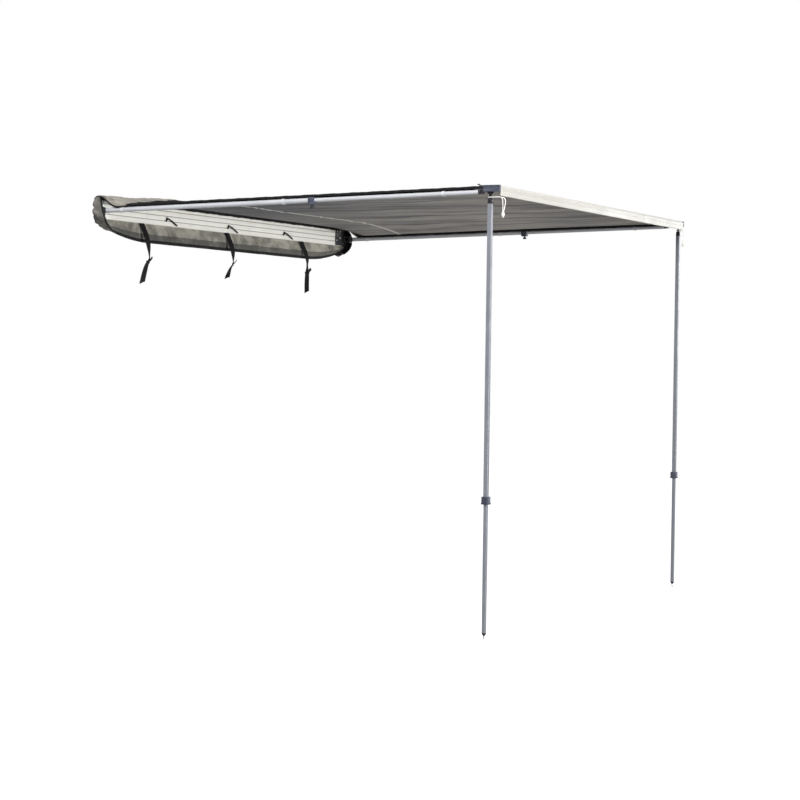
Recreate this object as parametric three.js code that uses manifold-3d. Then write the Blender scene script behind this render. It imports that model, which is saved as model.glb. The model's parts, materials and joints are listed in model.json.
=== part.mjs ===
// Side awning for a roof rack, opened out: a backing plate with its soft cover, two folding
// telescopic arms, a front beam on two telescopic poles, and the canopy between them.
// Millimetres, +Z up. The case runs along X, the canopy reaches towards -Y, and the origin is
// the centre of the backing plate's rear face. Left is -X and right is +X.
import * as THREE from 'three';
import { mergeVertices } from 'three/addons/utils/BufferGeometryUtils.js';
import Module from 'manifold-3d';

const wasm = await Module();
wasm.setup();

// Driving dimensions
const awningWidth = 2500;
const reach = 2000;
const standingHeight = 1872;
const plateHeight = 96;
const plateThickness = 18;
const beamDepth = 76;
const beamHeight = 46;
const armRise = 48;
const armHingeBelowCentre = 12;

// Fits shared by all pieces
const gap = 0.3;
const slideGap = 0.4;
const overrun = 5;
const roundSides = 20;
const smallSides = 14;

// Backing plate
const plateGrooveCount = 3;
const plateGrooveDepth = 1.2;
const plateGrooveWidth = 2.4;
const plateSlotMouth = 9;
const plateSlotWidth = 16;
const plateSlotLip = 3;
const plateSlotDepth = 9;
const plateSlotOffset = 26;
const plateBead = 3;
const plateWall = 2.4;

// End brackets and arm hinges
const bracketWidth = 35;
const bracketStandout = 3;
const hingeInset = 15;
const leftHingeForward = 38;
const rightHingeForward = 66;
const earThickness = 5;
const earRadius = 13;
const eyeRadius = 11;
const eyeHeight = 20;
const eyeTiltGap = 0.6;
const hingePinRadius = 3.5;
const hingeBoreRadius = 4.2;
const pinHeadRadius = 5.5;
const pinHeadHeight = 2.5;

// Arms
const outerTubeRadius = 11;
const outerTubeWall = 1.1;
const innerTubeRadius = 9.5;
const innerTubeWall = 1.2;
const outerTubeStart = 22;
const armPlugLength = 45;
const armPlugSink = 5;
const armClampPlace = 1083;
const armClampLength = 30;
const armClampWidth = 28;
const armClampAbove = 13;
const armClampBelow = 20;
const armTubeOverlap = 150;
const clipFromHinge = 110;
const clipBeforeClamp = 128;
const clipBeforePeg = 178.6;
const clipLength = 14;
const clipThickness = 2.2;
const knobRadius = 10;
const knobHeight = 9;
const knobLobes = 5;
const knobLobeDepth = 1.6;
const knobNeckRadius = 4;
const knobNeckHeight = 6;

// Arm hooks and the pegs that they hold
const pegRadius = 3.5;
const pegForward = 11;
const pegTabThickness = 4;
const pegTabWidth = 18;
const hookHeight = 15;
const hookWidth = 18;
const hookJaw = 4;
const hookSlotGap = 0.45;
const hookPlugLength = 40;
const hookShoulder = 6;
const hookPlugSink = 2;
const pegTabGap = 1.5;

// Front beam
const beamWall = 2.6;
const beamInnerLeg = 28;
const beamChamfer = 5;
const beamRidge = 1.6;
const beamBandHeight = 9;
const beamGroovePlace = 24;
const beamGrooveDepth = 1;
const beamGrooveWidth = 2.2;
const beamLip = 4;
const capThickness = 15;
const capPanelInset = 4;
const capPanelDepth = 1.5;
const capPlugLength = 38;
const capPlugHeight = 21;
const capPlugSink = 5;

// Pole pivots
const polePlace = 30;
const poleStagger = 16;
const pivotDrop = 36;
const funnelRadius = 14;
const funnelHeight = 12;
const funnelWaistShare = 0.72;
const funnelWaistDropShare = 0.55;
const neckRadius = 6.1;
const tongueThickness = 9;
const tongueRadius = 8;
const polePinRadius = 2.5;
const polePinGap = 0.3;
const polePinHeadRadius = 4.2;
const polePinHeadHeight = 1.3;
const forkLeg = 4;
const forkRadius = 9;

// Poles
const upperTubeSide = 19;
const upperTubeWall = 1.2;
const lowerTubeSide = 16;
const lowerTubeWall = 1;
const tubeCorner = 1.6;
const upperTubeTop = 14;
const polePlugLength = 32;
const plugSink = 1;
const poleClampBelowPivot = 1292;
const poleClampHeight = 33;
const poleClampSide = 30;
const poleClampFlare = 2;
const poleTubeOverlap = 180;
const footHeight = 12;
const footRadius = 11;
const footTipRadius = 4;
const footPlugLength = 20;
const spikeLength = 19;
const spikeRadius = 2.5;
const spikeShank = 8;
const leverThickness = 4;
const leverWidth = 20;
const leverLength = 27;
const leverPivotRadius = 2.4;
const leverSpacer = 0.4;

// Canopy
const canopyThickness = 1.5;
const canopyEdgeOverhang = 8;
const canopyOnPlate = 12;
const canopyAboveArm = 14.6;
const canopyFrontHeight = 19;
const canopyDroopWidthRear = 535;
const canopyDroopWidthFront = 200;
const canopyDroopNarrowingLength = 1600;
const canopyDroopPower = 1.4;
const canopyDroopStart = 23;
const canopyDroopLength = 150;
const canopyCalmLength = 110;
const canopyRippleHeight = 1.6;
const canopyRipples = 9;
const canopySpreadShare = 0.94;
const canopyRearCrowdShare = 0.5;
const canopyCellsAcross = 32;
const canopyCellsOut = 16;

// Cover
const clothThickness = 2;
const lowerFlapDrop = 88;
const lowerFlapEndDrop = 8;
const lowerFlapEndLength = 450;
const lowerFlapEndPower = 0.8;
const lowerFlapForward = 14;
const lowerFlapBellyShare = 0.72;
const lowerFlapCells = 24;
const lowerFlapRows = 5;
const seamStripShare = 0.2;
const topFlapLift = 22;
const topFlapEndLiftShare = 0.55;
const topFlapEndLiftLength = 500;
const topFlapForward = 180;
const topFlapEndDroop = 28;
const topFlapInset = 4;
const endPanelBulge = 58;
const endPanelTop = 9;
const endPanelRearTop = -4;
const endPanelBottom = 62;
const endPanelRearBottom = 4;
const endPanelTuck = 125;
const endPanelTuckPower = 4;
const leftPanelForward = 60;
const rightPanelForward = 66;
const endPanelSeamInset = 2;
const endPanelSeamShare = 0.13;
const endPanelPuffEndShare = 0.9;
const endPanelPuffShares = [0.06, 0.94];
const endPanelWaistShares = [0.2, 0.86];
const endPanelWaistPower = 0.7;
const endPanelTopRoundShare = 0.5;
const endPanelBottomPower = 0.8;
const endPanelCells = 9;

// Straps and ties
const strapWidth = 25;
const strapThickness = 2;
const strapDrop = { left: 290, middle: 262, right: 276 };
const strapHang = 30;
const strapSteps = 18;
const strapForward = 14;
const strapTailShare = 0.7;
const strapTailWidth = 16;
const strapTailReach = [20, -12, 24];
const strapTailSteps = 3;
const strapTailSink = 1;
const strapSpacing = 805;
const strapShift = -75;
const tieRadius = 3.6;
const tieTailSteps = 8;
const tieEndSteps = 3;
const tieSpacing = 595;
const tieShift = -50;
const tieButtonRadius = 7;
const tieButtonHeight = 4;
const tieDrop = 12;

// Guy ropes
const ropeRadius = 2;
const cordSides = 8;
const beadRadius = 6.5;
const beadHeight = 22;

// Shares of a bead's radius and height, from its tip up
const beadShares = [[0, 0], [0.33, 0], [0.6, 0.3], [1, 0.55], [1, 0.9], [0.8, 1], [0, 1]];

// Places worked out from the driving dimensions
const halfWidth = awningWidth / 2;
const plateHalf = plateHeight / 2;
const plateEnd = halfWidth - bracketWidth;
const hingeX = halfWidth - hingeInset;
const hingeZ = -armHingeBelowCentre;
const beamY = -reach;
const beamInnerY = beamY + beamDepth / 2;
const beamOuterY = beamY - beamDepth / 2;
const pegY = beamInnerY + pegForward;
const armEndZ = hingeZ + armRise;
const beamTopZ = armEndZ + beamInnerLeg;
const beamBottomZ = beamTopZ - beamHeight;
const poleX = halfWidth - polePlace;
const pivotZ = armEndZ - pivotDrop;
const groundZ = -standingHeight;
const capFaceX = halfWidth - capThickness;
const canopyHalf = hingeX + canopyEdgeOverhang;
const hingeForward = { left: leftHingeForward, right: rightHingeForward };
const poleY = { left: beamY + poleStagger, right: beamY - poleStagger };

// Slope and length of an arm, which runs from its hinge up to the peg
const armRun = { left: -pegY - leftHingeForward, right: -pegY - rightHingeForward };
const armSlope = Math.atan2(armRise, armRun.left);
const armLength = { left: Math.hypot(armRun.left, armRise), right: armRun.right / Math.cos(armSlope) };
const hingeHeight = { left: hingeZ, right: armEndZ - armRun.right * Math.tan(armSlope) };

// Finishes
const finish = {
  platePaint: { color: 0xd9d8d0, roughness: 0.5, metalness: 0.1 },
  beamPaint: { color: 0xebeae4, roughness: 0.42, metalness: 0.1 },
  blackPlastic: { color: 0x1b1b1e, roughness: 0.55, metalness: 0 },
  slatePlastic: { color: 0x454a5c, roughness: 0.5, metalness: 0 },
  aluminium: { color: 0xb9bbc2, roughness: 0.35, metalness: 0.9 },
  greyPlastic: { color: 0xc8cacb, roughness: 0.5, metalness: 0 },
  steel: { color: 0x9b9ea3, roughness: 0.35, metalness: 1 },
  coverCloth: { color: 0x6b675c, roughness: 0.85, metalness: 0 },
  canopyCloth: { color: 0x76726a, roughness: 0.9, metalness: 0 },
  webbing: { color: 0x151515, roughness: 0.9, metalness: 0 },
  rope: { color: 0xe9e8e2, roughness: 0.9, metalness: 0 },
};

const awning = new THREE.Group();

function addPart(name, geometry, finishName, parent = awning) {
  const mesh = new THREE.Mesh(geometry, new THREE.MeshStandardMaterial(finish[finishName]));
  mesh.name = name;
  parent.add(mesh);
  return mesh;
}

// Solid helpers

function toSolid(geometry) {
  const bare = geometry.clone();
  bare.deleteAttribute('normal');
  bare.deleteAttribute('uv');
  const merged = mergeVertices(bare);
  const vertProperties = new Float32Array(merged.attributes.position.array);
  const triVerts = new Uint32Array(merged.index.array);
  return new wasm.Manifold(new wasm.Mesh({ numProp: 3, vertProperties, triVerts }));
}

function toGeometry(solid) {
  const mesh = solid.getMesh();
  const geometry = new THREE.BufferGeometry();
  geometry.setAttribute('position', new THREE.BufferAttribute(mesh.vertProperties.slice(), mesh.numProp));
  geometry.setIndex(new THREE.BufferAttribute(mesh.triVerts.slice(), 1));
  geometry.computeVertexNormals();
  return geometry;
}

function join(first, ...rest) {
  return rest.reduce((solid, geometry) => solid.add(toSolid(geometry)), toSolid(first));
}

function carve(solid, ...cutters) {
  return toGeometry(cutters.reduce((left, geometry) => left.subtract(toSolid(geometry)), solid));
}

function boxBetween(x0, x1, y0, y1, z0, z1) {
  const box = new THREE.BoxGeometry(Math.abs(x1 - x0), Math.abs(y1 - y0), Math.abs(z1 - z0));
  return box.translate((x0 + x1) / 2, (y0 + y1) / 2, (z0 + z1) / 2);
}

// An upright cylinder between two heights
function post(x, y, z0, z1, radius, sides = smallSides) {
  const cylinder = new THREE.CylinderGeometry(radius, radius, z1 - z0, sides).rotateX(Math.PI / 2);
  return cylinder.translate(x, y, (z0 + z1) / 2);
}

// A cylinder along Y between two places
function crossPin(x, z, y0, y1, radius, sides = smallSides) {
  const cylinder = new THREE.CylinderGeometry(radius, radius, y1 - y0, sides);
  return cylinder.translate(x, (y0 + y1) / 2, z);
}

function outline(points) {
  return new THREE.Shape(points.map(([a, b]) => new THREE.Vector2(a, b)));
}

// Extrudes an outline drawn in Y and Z along X
function extrudeAlongX(shape, x0, x1) {
  const geometry = new THREE.ExtrudeGeometry(shape, { depth: x1 - x0, bevelEnabled: false });
  const basis = new THREE.Matrix4().makeBasis(
    new THREE.Vector3(0, 1, 0),
    new THREE.Vector3(0, 0, 1),
    new THREE.Vector3(1, 0, 0),
  );
  return geometry.applyMatrix4(basis).translate(x0, 0, 0);
}

// Extrudes an outline drawn in X and Y upwards
function extrudeUp(shape, z0, z1) {
  const geometry = new THREE.ExtrudeGeometry(shape, { depth: z1 - z0, bevelEnabled: false });
  return geometry.translate(0, 0, z0);
}

function ring(radius, boreRadius, sides) {
  const circle = (r) => Array.from({ length: sides }, (_, i) => {
    const angle = (2 * Math.PI * i) / sides;
    return new THREE.Vector2(r * Math.cos(angle), r * Math.sin(angle));
  });
  const shape = new THREE.Shape(circle(radius));
  shape.holes.push(new THREE.Path(circle(boreRadius)));
  return shape;
}

// A round tube or collar along -Y, from one distance out to another
function roundTube(radius, boreRadius, from, to) {
  const section = ring(radius, boreRadius, roundSides);
  const geometry = new THREE.ExtrudeGeometry(section, { depth: to - from, bevelEnabled: false });
  return geometry.rotateX(Math.PI / 2).translate(0, -from, 0);
}

// A solid rod along -Y, from one distance out to another
function boreAlongArm(radius, from, to) {
  return new THREE.CylinderGeometry(radius, radius, to - from, roundSides).translate(0, -(from + to) / 2, 0);
}

// A rounded square, as an outline or as a hole in one
function squarePoints(side, corner) {
  const half = side / 2;
  const inner = half - corner;
  const points = [];
  for (let quarter = 0; quarter < 4; quarter += 1) {
    for (let step = 0; step <= 2; step += 1) {
      const angle = (quarter * Math.PI) / 2 + (step * Math.PI) / 4;
      const cornerX = (quarter === 0 || quarter === 3) ? inner : -inner;
      const cornerY = quarter < 2 ? inner : -inner;
      points.push(new THREE.Vector2(cornerX + corner * Math.cos(angle), cornerY + corner * Math.sin(angle)));
    }
  }
  return points;
}

function squareTube(side, wall, z0, z1) {
  const shape = new THREE.Shape(squarePoints(side, tubeCorner));
  shape.holes.push(new THREE.Path(squarePoints(side - 2 * wall, tubeCorner / 2)));
  return extrudeUp(shape, z0, z1);
}

function squareBar(side, z0, z1) {
  return extrudeUp(new THREE.Shape(squarePoints(side, tubeCorner / 2)), z0, z1);
}

// A closed thin solid over a grid of points: point(u, v) gives the face, normal(u, v) its thickness
function sheetSolid(point, offset, cellsU, cellsV) {
  const positions = [];
  const index = [];
  const rowLength = cellsV + 1;
  const layer = (cellsU + 1) * rowLength;
  for (const side of [0, 1]) {
    for (let i = 0; i <= cellsU; i += 1) {
      for (let j = 0; j <= cellsV; j += 1) {
        const base = point(i / cellsU, j / cellsV);
        const shift = offset(i / cellsU, j / cellsV);
        positions.push(...base.map((value, axis) => value + side * shift[axis]));
      }
    }
  }
  const at = (side, i, j) => side * layer + i * rowLength + j;
  const quad = (a, b, c, d) => index.push(a, b, c, a, c, d);
  for (let i = 0; i < cellsU; i += 1) {
    for (let j = 0; j < cellsV; j += 1) {
      quad(at(1, i, j), at(1, i + 1, j), at(1, i + 1, j + 1), at(1, i, j + 1));
      quad(at(0, i, j), at(0, i, j + 1), at(0, i + 1, j + 1), at(0, i + 1, j));
    }
  }
  for (let i = 0; i < cellsU; i += 1) {
    quad(at(0, i, 0), at(0, i + 1, 0), at(1, i + 1, 0), at(1, i, 0));
    quad(at(0, i + 1, cellsV), at(0, i, cellsV), at(1, i, cellsV), at(1, i + 1, cellsV));
  }
  for (let j = 0; j < cellsV; j += 1) {
    quad(at(0, 0, j + 1), at(0, 0, j), at(1, 0, j), at(1, 0, j + 1));
    quad(at(0, cellsU, j), at(0, cellsU, j + 1), at(1, cellsU, j + 1), at(1, cellsU, j));
  }
  const geometry = new THREE.BufferGeometry();
  geometry.setAttribute('position', new THREE.Float32BufferAttribute(positions, 3));
  geometry.setIndex(index);
  const solid = toSolid(geometry);
  return solid.volume() > 0 ? geometry : flipped(geometry);
}

function flipped(geometry) {
  const turned = [];
  const source = geometry.index.array;
  for (let i = 0; i < source.length; i += 3) {
    turned.push(source[i], source[i + 2], source[i + 1]);
  }
  geometry.setIndex(turned);
  return geometry;
}

function smooth(value) {
  const t = Math.min(Math.max(value, 0), 1);
  return t * t * (3 - 2 * t);
}

function between(from, to, share) {
  return from + (to - from) * share;
}

// Backing plate: a hollow extruded strip with shallow grooves in front and two bolt slots behind

function platePoints() {
  const points = [[0, -plateHalf]];
  for (const centre of [-plateSlotOffset, plateSlotOffset]) {
    const lip = -plateSlotLip;
    points.push(
      [0, centre - plateSlotMouth / 2],
      [lip, centre - plateSlotMouth / 2],
      [lip, centre - plateSlotWidth / 2],
      [-plateSlotDepth, centre - plateSlotWidth / 2],
      [-plateSlotDepth, centre + plateSlotWidth / 2],
      [lip, centre + plateSlotWidth / 2],
      [lip, centre + plateSlotMouth / 2],
      [0, centre + plateSlotMouth / 2],
    );
  }
  points.push([0, plateHalf], [-plateThickness, plateHalf]);
  const pitch = plateHeight / (plateGrooveCount + 1);
  for (let i = plateGrooveCount; i > 0; i -= 1) {
    const centre = -plateHalf + i * pitch;
    points.push(
      [-plateThickness, centre + plateGrooveWidth / 2],
      [-plateThickness + plateGrooveDepth, centre],
      [-plateThickness, centre - plateGrooveWidth / 2],
    );
  }
  points.push(
    [-plateThickness, -plateHalf + plateBead],
    [-plateThickness - plateBead / 2, -plateHalf + plateBead / 2],
    [-plateThickness, -plateHalf],
  );
  return points.reverse();
}

// The hollow chambers: one behind each slot, one between the slots and one beyond each of them
function plateChambers() {
  const front = -plateThickness + plateWall;
  const behindSlot = -plateSlotDepth - plateWall;
  const slotHalf = plateSlotWidth / 2;
  const besideSlot = slotHalf + plateWall;
  const spans = [
    [-plateHalf + plateWall, -plateSlotOffset - besideSlot, -plateWall],
    [-plateSlotOffset - slotHalf, -plateSlotOffset + slotHalf, behindSlot],
    [-plateSlotOffset + besideSlot, plateSlotOffset - besideSlot, -plateWall],
    [plateSlotOffset - slotHalf, plateSlotOffset + slotHalf, behindSlot],
    [plateSlotOffset + besideSlot, plateHalf - plateWall, -plateWall],
  ];
  return spans.map(([low, high, back]) => new THREE.Path([
    new THREE.Vector2(back, high),
    new THREE.Vector2(front, high),
    new THREE.Vector2(front, low),
    new THREE.Vector2(back, low),
  ]));
}

const plateSection = outline(platePoints());
plateSection.holes.push(...plateChambers());
const plateStrip = extrudeAlongX(plateSection, -plateEnd + gap, plateEnd - gap);
addPart('backing_plate', plateStrip, 'platePaint');

// End brackets, each with a two-eared hinge for its arm, and the hinge pins

function mirrorFor(side) {
  return side === 'left' ? -1 : 1;
}

function addBracket(side) {
  const sign = mirrorFor(side);
  const forward = hingeForward[side];
  const height = hingeHeight[side];
  const inner = sign * plateEnd;
  const outer = sign * halfWidth;
  const hinge = sign * hingeX;
  const cap = boxBetween(inner, outer, -plateThickness - bracketStandout, 0, -plateHalf, plateHalf);
  const ears = [];
  const bores = [];
  const eyeHalf = eyeHeight / 2 + eyeTiltGap;
  for (const direction of [-1, 1]) {
    const near = height + direction * eyeHalf;
    const far = near + direction * earThickness;
    const low = Math.min(near, far);
    const high = Math.max(near, far);
    ears.push(boxBetween(hinge - earRadius, hinge + earRadius, -forward, -plateThickness, low, high));
    ears.push(post(hinge, -forward, low, high, earRadius, roundSides));
    bores.push(post(hinge, -forward, low - overrun, high + overrun, hingePinRadius + gap));
  }
  addPart(`end_bracket_${side}`, carve(join(cap, ...ears), ...bores), 'blackPlastic');

  const pinHalf = eyeHalf + earThickness + gap;
  const shankHalf = pinHalf + pinHeadHeight / 2;
  const shank = post(hinge, -forward, height - shankHalf, height + shankHalf, hingePinRadius);
  const heads = [-1, 1].map((direction) => {
    const near = height + direction * pinHalf;
    const far = near + direction * pinHeadHeight;
    return post(hinge, -forward, Math.min(near, far), Math.max(near, far), pinHeadRadius);
  });
  addPart(`arm_hinge_pin_${side}`, toGeometry(join(shank, ...heads)), 'steel');
}

// Arms, built along -Y in a group that stands at the hinge and rises towards the beam

function addArm(side) {
  const sign = mirrorFor(side);
  const arm = new THREE.Group();
  arm.position.set(sign * hingeX, -hingeForward[side], hingeHeight[side]);
  arm.rotation.x = -armSlope;
  awning.add(arm);
  const length = armLength[side];
  const stagger = length - armLength.left;
  const clampStart = armClampPlace + stagger;
  const clampEnd = clampStart + armClampLength;
  const tubeEnd = clampStart + armClampLength / 2;
  const outerBore = outerTubeRadius - outerTubeWall;
  const innerTubeEnd = length - hookWidth / 2 - hookShoulder;

  const halfEye = eyeHeight / 2;
  const shoulder = boxBetween(-outerBore, outerBore, -outerTubeStart + gap, 0, -halfEye, halfEye);
  const eye = post(0, 0, -halfEye, halfEye, eyeRadius, roundSides);
  const plugStart = outerTubeStart - armPlugSink;
  const plug = roundTube(outerBore - gap, hingePinRadius, plugStart, outerTubeStart + armPlugLength);
  const bore = post(0, 0, -eyeHeight, eyeHeight, hingeBoreRadius);
  addPart(`arm_hinge_knuckle_${side}`, carve(join(eye, shoulder, plug), bore), 'blackPlastic', arm);

  addPart(
    `arm_outer_tube_${side}`,
    roundTube(outerTubeRadius, outerBore, outerTubeStart, tubeEnd),
    'aluminium',
    arm,
  );
  addPart(
    `arm_inner_tube_${side}`,
    roundTube(innerTubeRadius, innerTubeRadius - innerTubeWall, clampStart - armTubeOverlap, innerTubeEnd),
    'aluminium',
    arm,
  );

  const halfClamp = armClampWidth / 2;
  const block = boxBetween(-halfClamp, halfClamp, -clampEnd, -clampStart, -armClampBelow, armClampAbove);
  const seat = boreAlongArm(outerTubeRadius + gap, clampStart - overrun, tubeEnd + gap);
  const throughBore = boreAlongArm(innerTubeRadius + slideGap, clampStart - overrun, clampEnd + overrun);
  addPart(`arm_clamp_${side}`, carve(toSolid(block), seat, throughBore), 'slatePlastic', arm);

  addArmKnob(side, arm, (clampStart + clampEnd) / 2);
  addClip(`arm_clip_inner_${side}`, arm, clipFromHinge, outerTubeRadius);
  addClip(`arm_clip_middle_${side}`, arm, clampStart - clipBeforeClamp, outerTubeRadius);
  addClip(`arm_clip_outer_${side}`, arm, length - clipBeforePeg, innerTubeRadius);
  addHook(side, arm, length);
}

function addArmKnob(side, arm, place) {
  const lobed = [];
  const steps = knobLobes * 6;
  for (let i = 0; i < steps; i += 1) {
    const angle = (2 * Math.PI * i) / steps;
    const radius = knobRadius - knobLobeDepth * (0.5 - 0.5 * Math.cos(knobLobes * angle));
    lobed.push([radius * Math.cos(angle), radius * Math.sin(angle)]);
  }
  const neckTop = -armClampBelow - gap;
  const headTop = neckTop - knobNeckHeight;
  const head = extrudeUp(outline(lobed), headTop - knobHeight, headTop).translate(0, -place, 0);
  const neck = post(0, -place, headTop - knobHeight / 2, neckTop, knobNeckRadius);
  addPart(`arm_clamp_knob_${side}`, toGeometry(join(head, neck)), 'blackPlastic', arm);
}

function addClip(name, arm, place, tubeRadius) {
  const from = place - clipLength / 2;
  const to = place + clipLength / 2;
  const bore = tubeRadius + gap;
  addPart(name, roundTube(bore + clipThickness, bore, from, to), 'greyPlastic', arm);
}

// A hook that opens to the outside, so that the arm leaves its peg by swinging in
function addHook(side, arm, length) {
  const sign = mirrorFor(side);
  const slot = pegRadius + hookSlotGap;
  const block = boxBetween(
    -hookWidth / 2,
    hookWidth / 2,
    -length - slot - hookJaw + gap,
    -length + hookWidth / 2 + hookShoulder - gap,
    -hookHeight / 2,
    hookHeight / 2,
  );
  const plugRadius = innerTubeRadius - innerTubeWall - gap;
  const plugEnd = length - hookWidth / 2 - hookShoulder;
  const plug = roundTube(plugRadius, plugRadius / 2, plugEnd - hookPlugLength, plugEnd + hookPlugSink);
  const mouthEnd = sign * (hookWidth / 2 + overrun);
  const mouth = boxBetween(0, mouthEnd, -length - slot, -length + slot, -hookHeight, hookHeight);
  const round = post(0, -length, -hookHeight, hookHeight, slot, roundSides);
  addPart(`arm_hook_${side}`, carve(join(block, plug), mouth, round), 'blackPlastic', arm);
}

// Front beam: a downward channel with a tall outer skirt and a short inner leg

function beamPoints() {
  const top = beamTopZ;
  const outer = beamOuterY;
  const inner = beamInnerY;
  const bottom = beamBottomZ;
  const band = top - beamBandHeight;
  const groove = top - beamGroovePlace;
  return [
    [outer + beamWall, top - beamWall],
    [outer + beamWall, bottom],
    [outer, bottom],
    [outer - beamRidge, bottom + beamLip / 2],
    [outer, bottom + beamLip],
    [outer, groove - beamGrooveWidth / 2],
    [outer + beamGrooveDepth, groove],
    [outer, groove + beamGrooveWidth / 2],
    [outer, band - beamRidge],
    [outer - beamRidge, band],
    [outer, band + beamRidge],
    [outer + beamChamfer / 2, top - beamChamfer / 2],
    [outer + beamChamfer * 2, top],
    [inner - beamChamfer, top],
    [inner, top - beamChamfer],
    [inner, armEndZ],
    [inner - beamWall, armEndZ],
    [inner - beamWall, top - beamWall],
  ];
}

addPart('front_beam', extrudeAlongX(outline(beamPoints()), -capFaceX + gap, capFaceX - gap), 'beamPaint');

// Beam end caps, each with a plug in the channel, a rim round a sunk panel, and the arm's peg

function addCap(side) {
  const sign = mirrorFor(side);
  const face = sign * capFaceX;
  const end = sign * halfWidth;
  const plate = boxBetween(face, end, beamOuterY, beamInnerY, armEndZ, beamTopZ);
  const panel = boxBetween(
    end - sign * capPanelDepth,
    end + sign * overrun,
    beamOuterY + capPanelInset,
    beamInnerY - capPanelInset,
    armEndZ + capPanelInset,
    beamTopZ - capPanelInset,
  );
  const plugTop = beamTopZ - beamWall - gap;
  const plug = boxBetween(
    face + sign * capPlugSink,
    face - sign * capPlugLength,
    beamOuterY + beamWall + gap,
    beamInnerY - beamWall - gap,
    plugTop - capPlugHeight,
    plugTop,
  );
  const pegX = sign * hingeX;
  const tabLow = armEndZ + hookHeight / 2 + pegTabGap;
  const tab = boxBetween(
    pegX - pegTabWidth / 2,
    pegX + pegTabWidth / 2,
    beamInnerY - overrun,
    pegY + pegRadius,
    tabLow,
    tabLow + pegTabThickness,
  );
  const peg = post(pegX, pegY, armEndZ - hookHeight / 2 - gap, tabLow + pegTabThickness / 2, pegRadius);
  const clearBeam = boxBetween(
    face,
    face - sign * pegTabWidth,
    beamInnerY - overrun * 2,
    beamInnerY + gap,
    tabLow - overrun,
    tabLow + pegTabThickness + overrun,
  );
  const tabOnly = toGeometry(toSolid(tab).subtract(toSolid(clearBeam)));
  addPart(`beam_cap_${side}`, carve(join(plate, plug, tabOnly, peg), panel), 'slatePlastic');
}

// Pole pivots under the caps

function addPivot(side) {
  const sign = mirrorFor(side);
  const x = sign * poleX;
  const y = poleY[side];
  const plugBottom = beamTopZ - beamWall - gap - capPlugHeight;
  const funnelTop = plugBottom - gap;
  const neckBottom = pivotZ + forkRadius + gap * 2;
  const profile = [
    [0, funnelTop],
    [funnelRadius, funnelTop],
    [funnelRadius, armEndZ - funnelHeight * (1 - funnelWaistShare)],
    [funnelRadius * funnelWaistShare, armEndZ - funnelHeight * funnelWaistDropShare],
    [neckRadius, armEndZ - funnelHeight],
    [neckRadius, neckBottom],
    [0, neckBottom],
  ].map(([radius, z]) => new THREE.Vector2(radius, z));
  const funnel = new THREE.LatheGeometry(profile.reverse(), roundSides).rotateX(Math.PI / 2);
  const half = tongueThickness / 2;
  const tongue = crossPin(x, pivotZ, y - half, y + half, tongueRadius, roundSides);
  const stemTop = pivotZ + tongueRadius + neckRadius;
  const stem = boxBetween(x - half, x + half, y - half, y + half, pivotZ, stemTop);
  const bore = crossPin(x, pivotZ, y - tongueThickness, y + tongueThickness, polePinRadius + polePinGap);
  funnel.translate(x, y, 0);
  addPart(`pole_knuckle_${side}`, carve(join(funnel, tongue, stem), bore), 'blackPlastic');

  const pinHalf = half + gap + forkLeg + gap;
  const shankHalf = pinHalf + polePinHeadHeight / 2;
  const shank = crossPin(x, pivotZ, y - shankHalf, y + shankHalf, polePinRadius);
  const heads = [
    crossPin(x, pivotZ, y + pinHalf, y + pinHalf + polePinHeadHeight, polePinHeadRadius),
    crossPin(x, pivotZ, y - pinHalf - polePinHeadHeight, y - pinHalf, polePinHeadRadius),
  ];
  addPart(`pole_pivot_pin_${side}`, toGeometry(join(shank, ...heads)), 'steel');
}

// Poles, built downwards in a group that stands at the pivot

function addPole(side) {
  const sign = mirrorFor(side);
  const pole = new THREE.Group();
  pole.position.set(sign * poleX, poleY[side], pivotZ);
  awning.add(pole);
  const clampTop = -poleClampBelowPivot + poleClampHeight;
  const clampBottom = -poleClampBelowPivot;
  const tubeBottom = clampBottom + poleClampHeight / 3;
  const upperBore = upperTubeSide - 2 * upperTubeWall;
  const legInner = tongueThickness / 2 + gap;
  const legOuter = legInner + forkLeg;
  const footTop = groundZ - pivotZ + spikeLength + footHeight;

  const legs = [];
  for (const direction of [-1, 1]) {
    const from = Math.min(direction * legInner, direction * legOuter);
    const to = Math.max(direction * legInner, direction * legOuter);
    legs.push(crossPin(0, 0, from, to, forkRadius, roundSides));
    legs.push(boxBetween(-forkRadius, forkRadius, from, to, -upperTubeTop + gap, 0));
  }
  const head = squareBar(upperTubeSide, -upperTubeTop + gap, -tongueRadius - gap * 2);
  const plug = squareBar(upperBore - 2 * gap, -upperTubeTop - polePlugLength, -upperTubeTop + plugSink);
  const pinBore = crossPin(0, 0, -upperTubeSide, upperTubeSide, polePinRadius + polePinGap);
  addPart(`pole_fork_${side}`, carve(join(head, plug, ...legs), pinBore), 'blackPlastic', pole);

  addPart(
    `pole_upper_tube_${side}`,
    squareTube(upperTubeSide, upperTubeWall, tubeBottom, -upperTubeTop),
    'aluminium',
    pole,
  );
  addPart(
    `pole_lower_tube_${side}`,
    squareTube(lowerTubeSide, lowerTubeWall, footTop, clampTop + poleTubeOverlap),
    'aluminium',
    pole,
  );

  addPoleClamp(side, pole, clampBottom, clampTop, tubeBottom);
  addFoot(side, pole, footTop);
}

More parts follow.
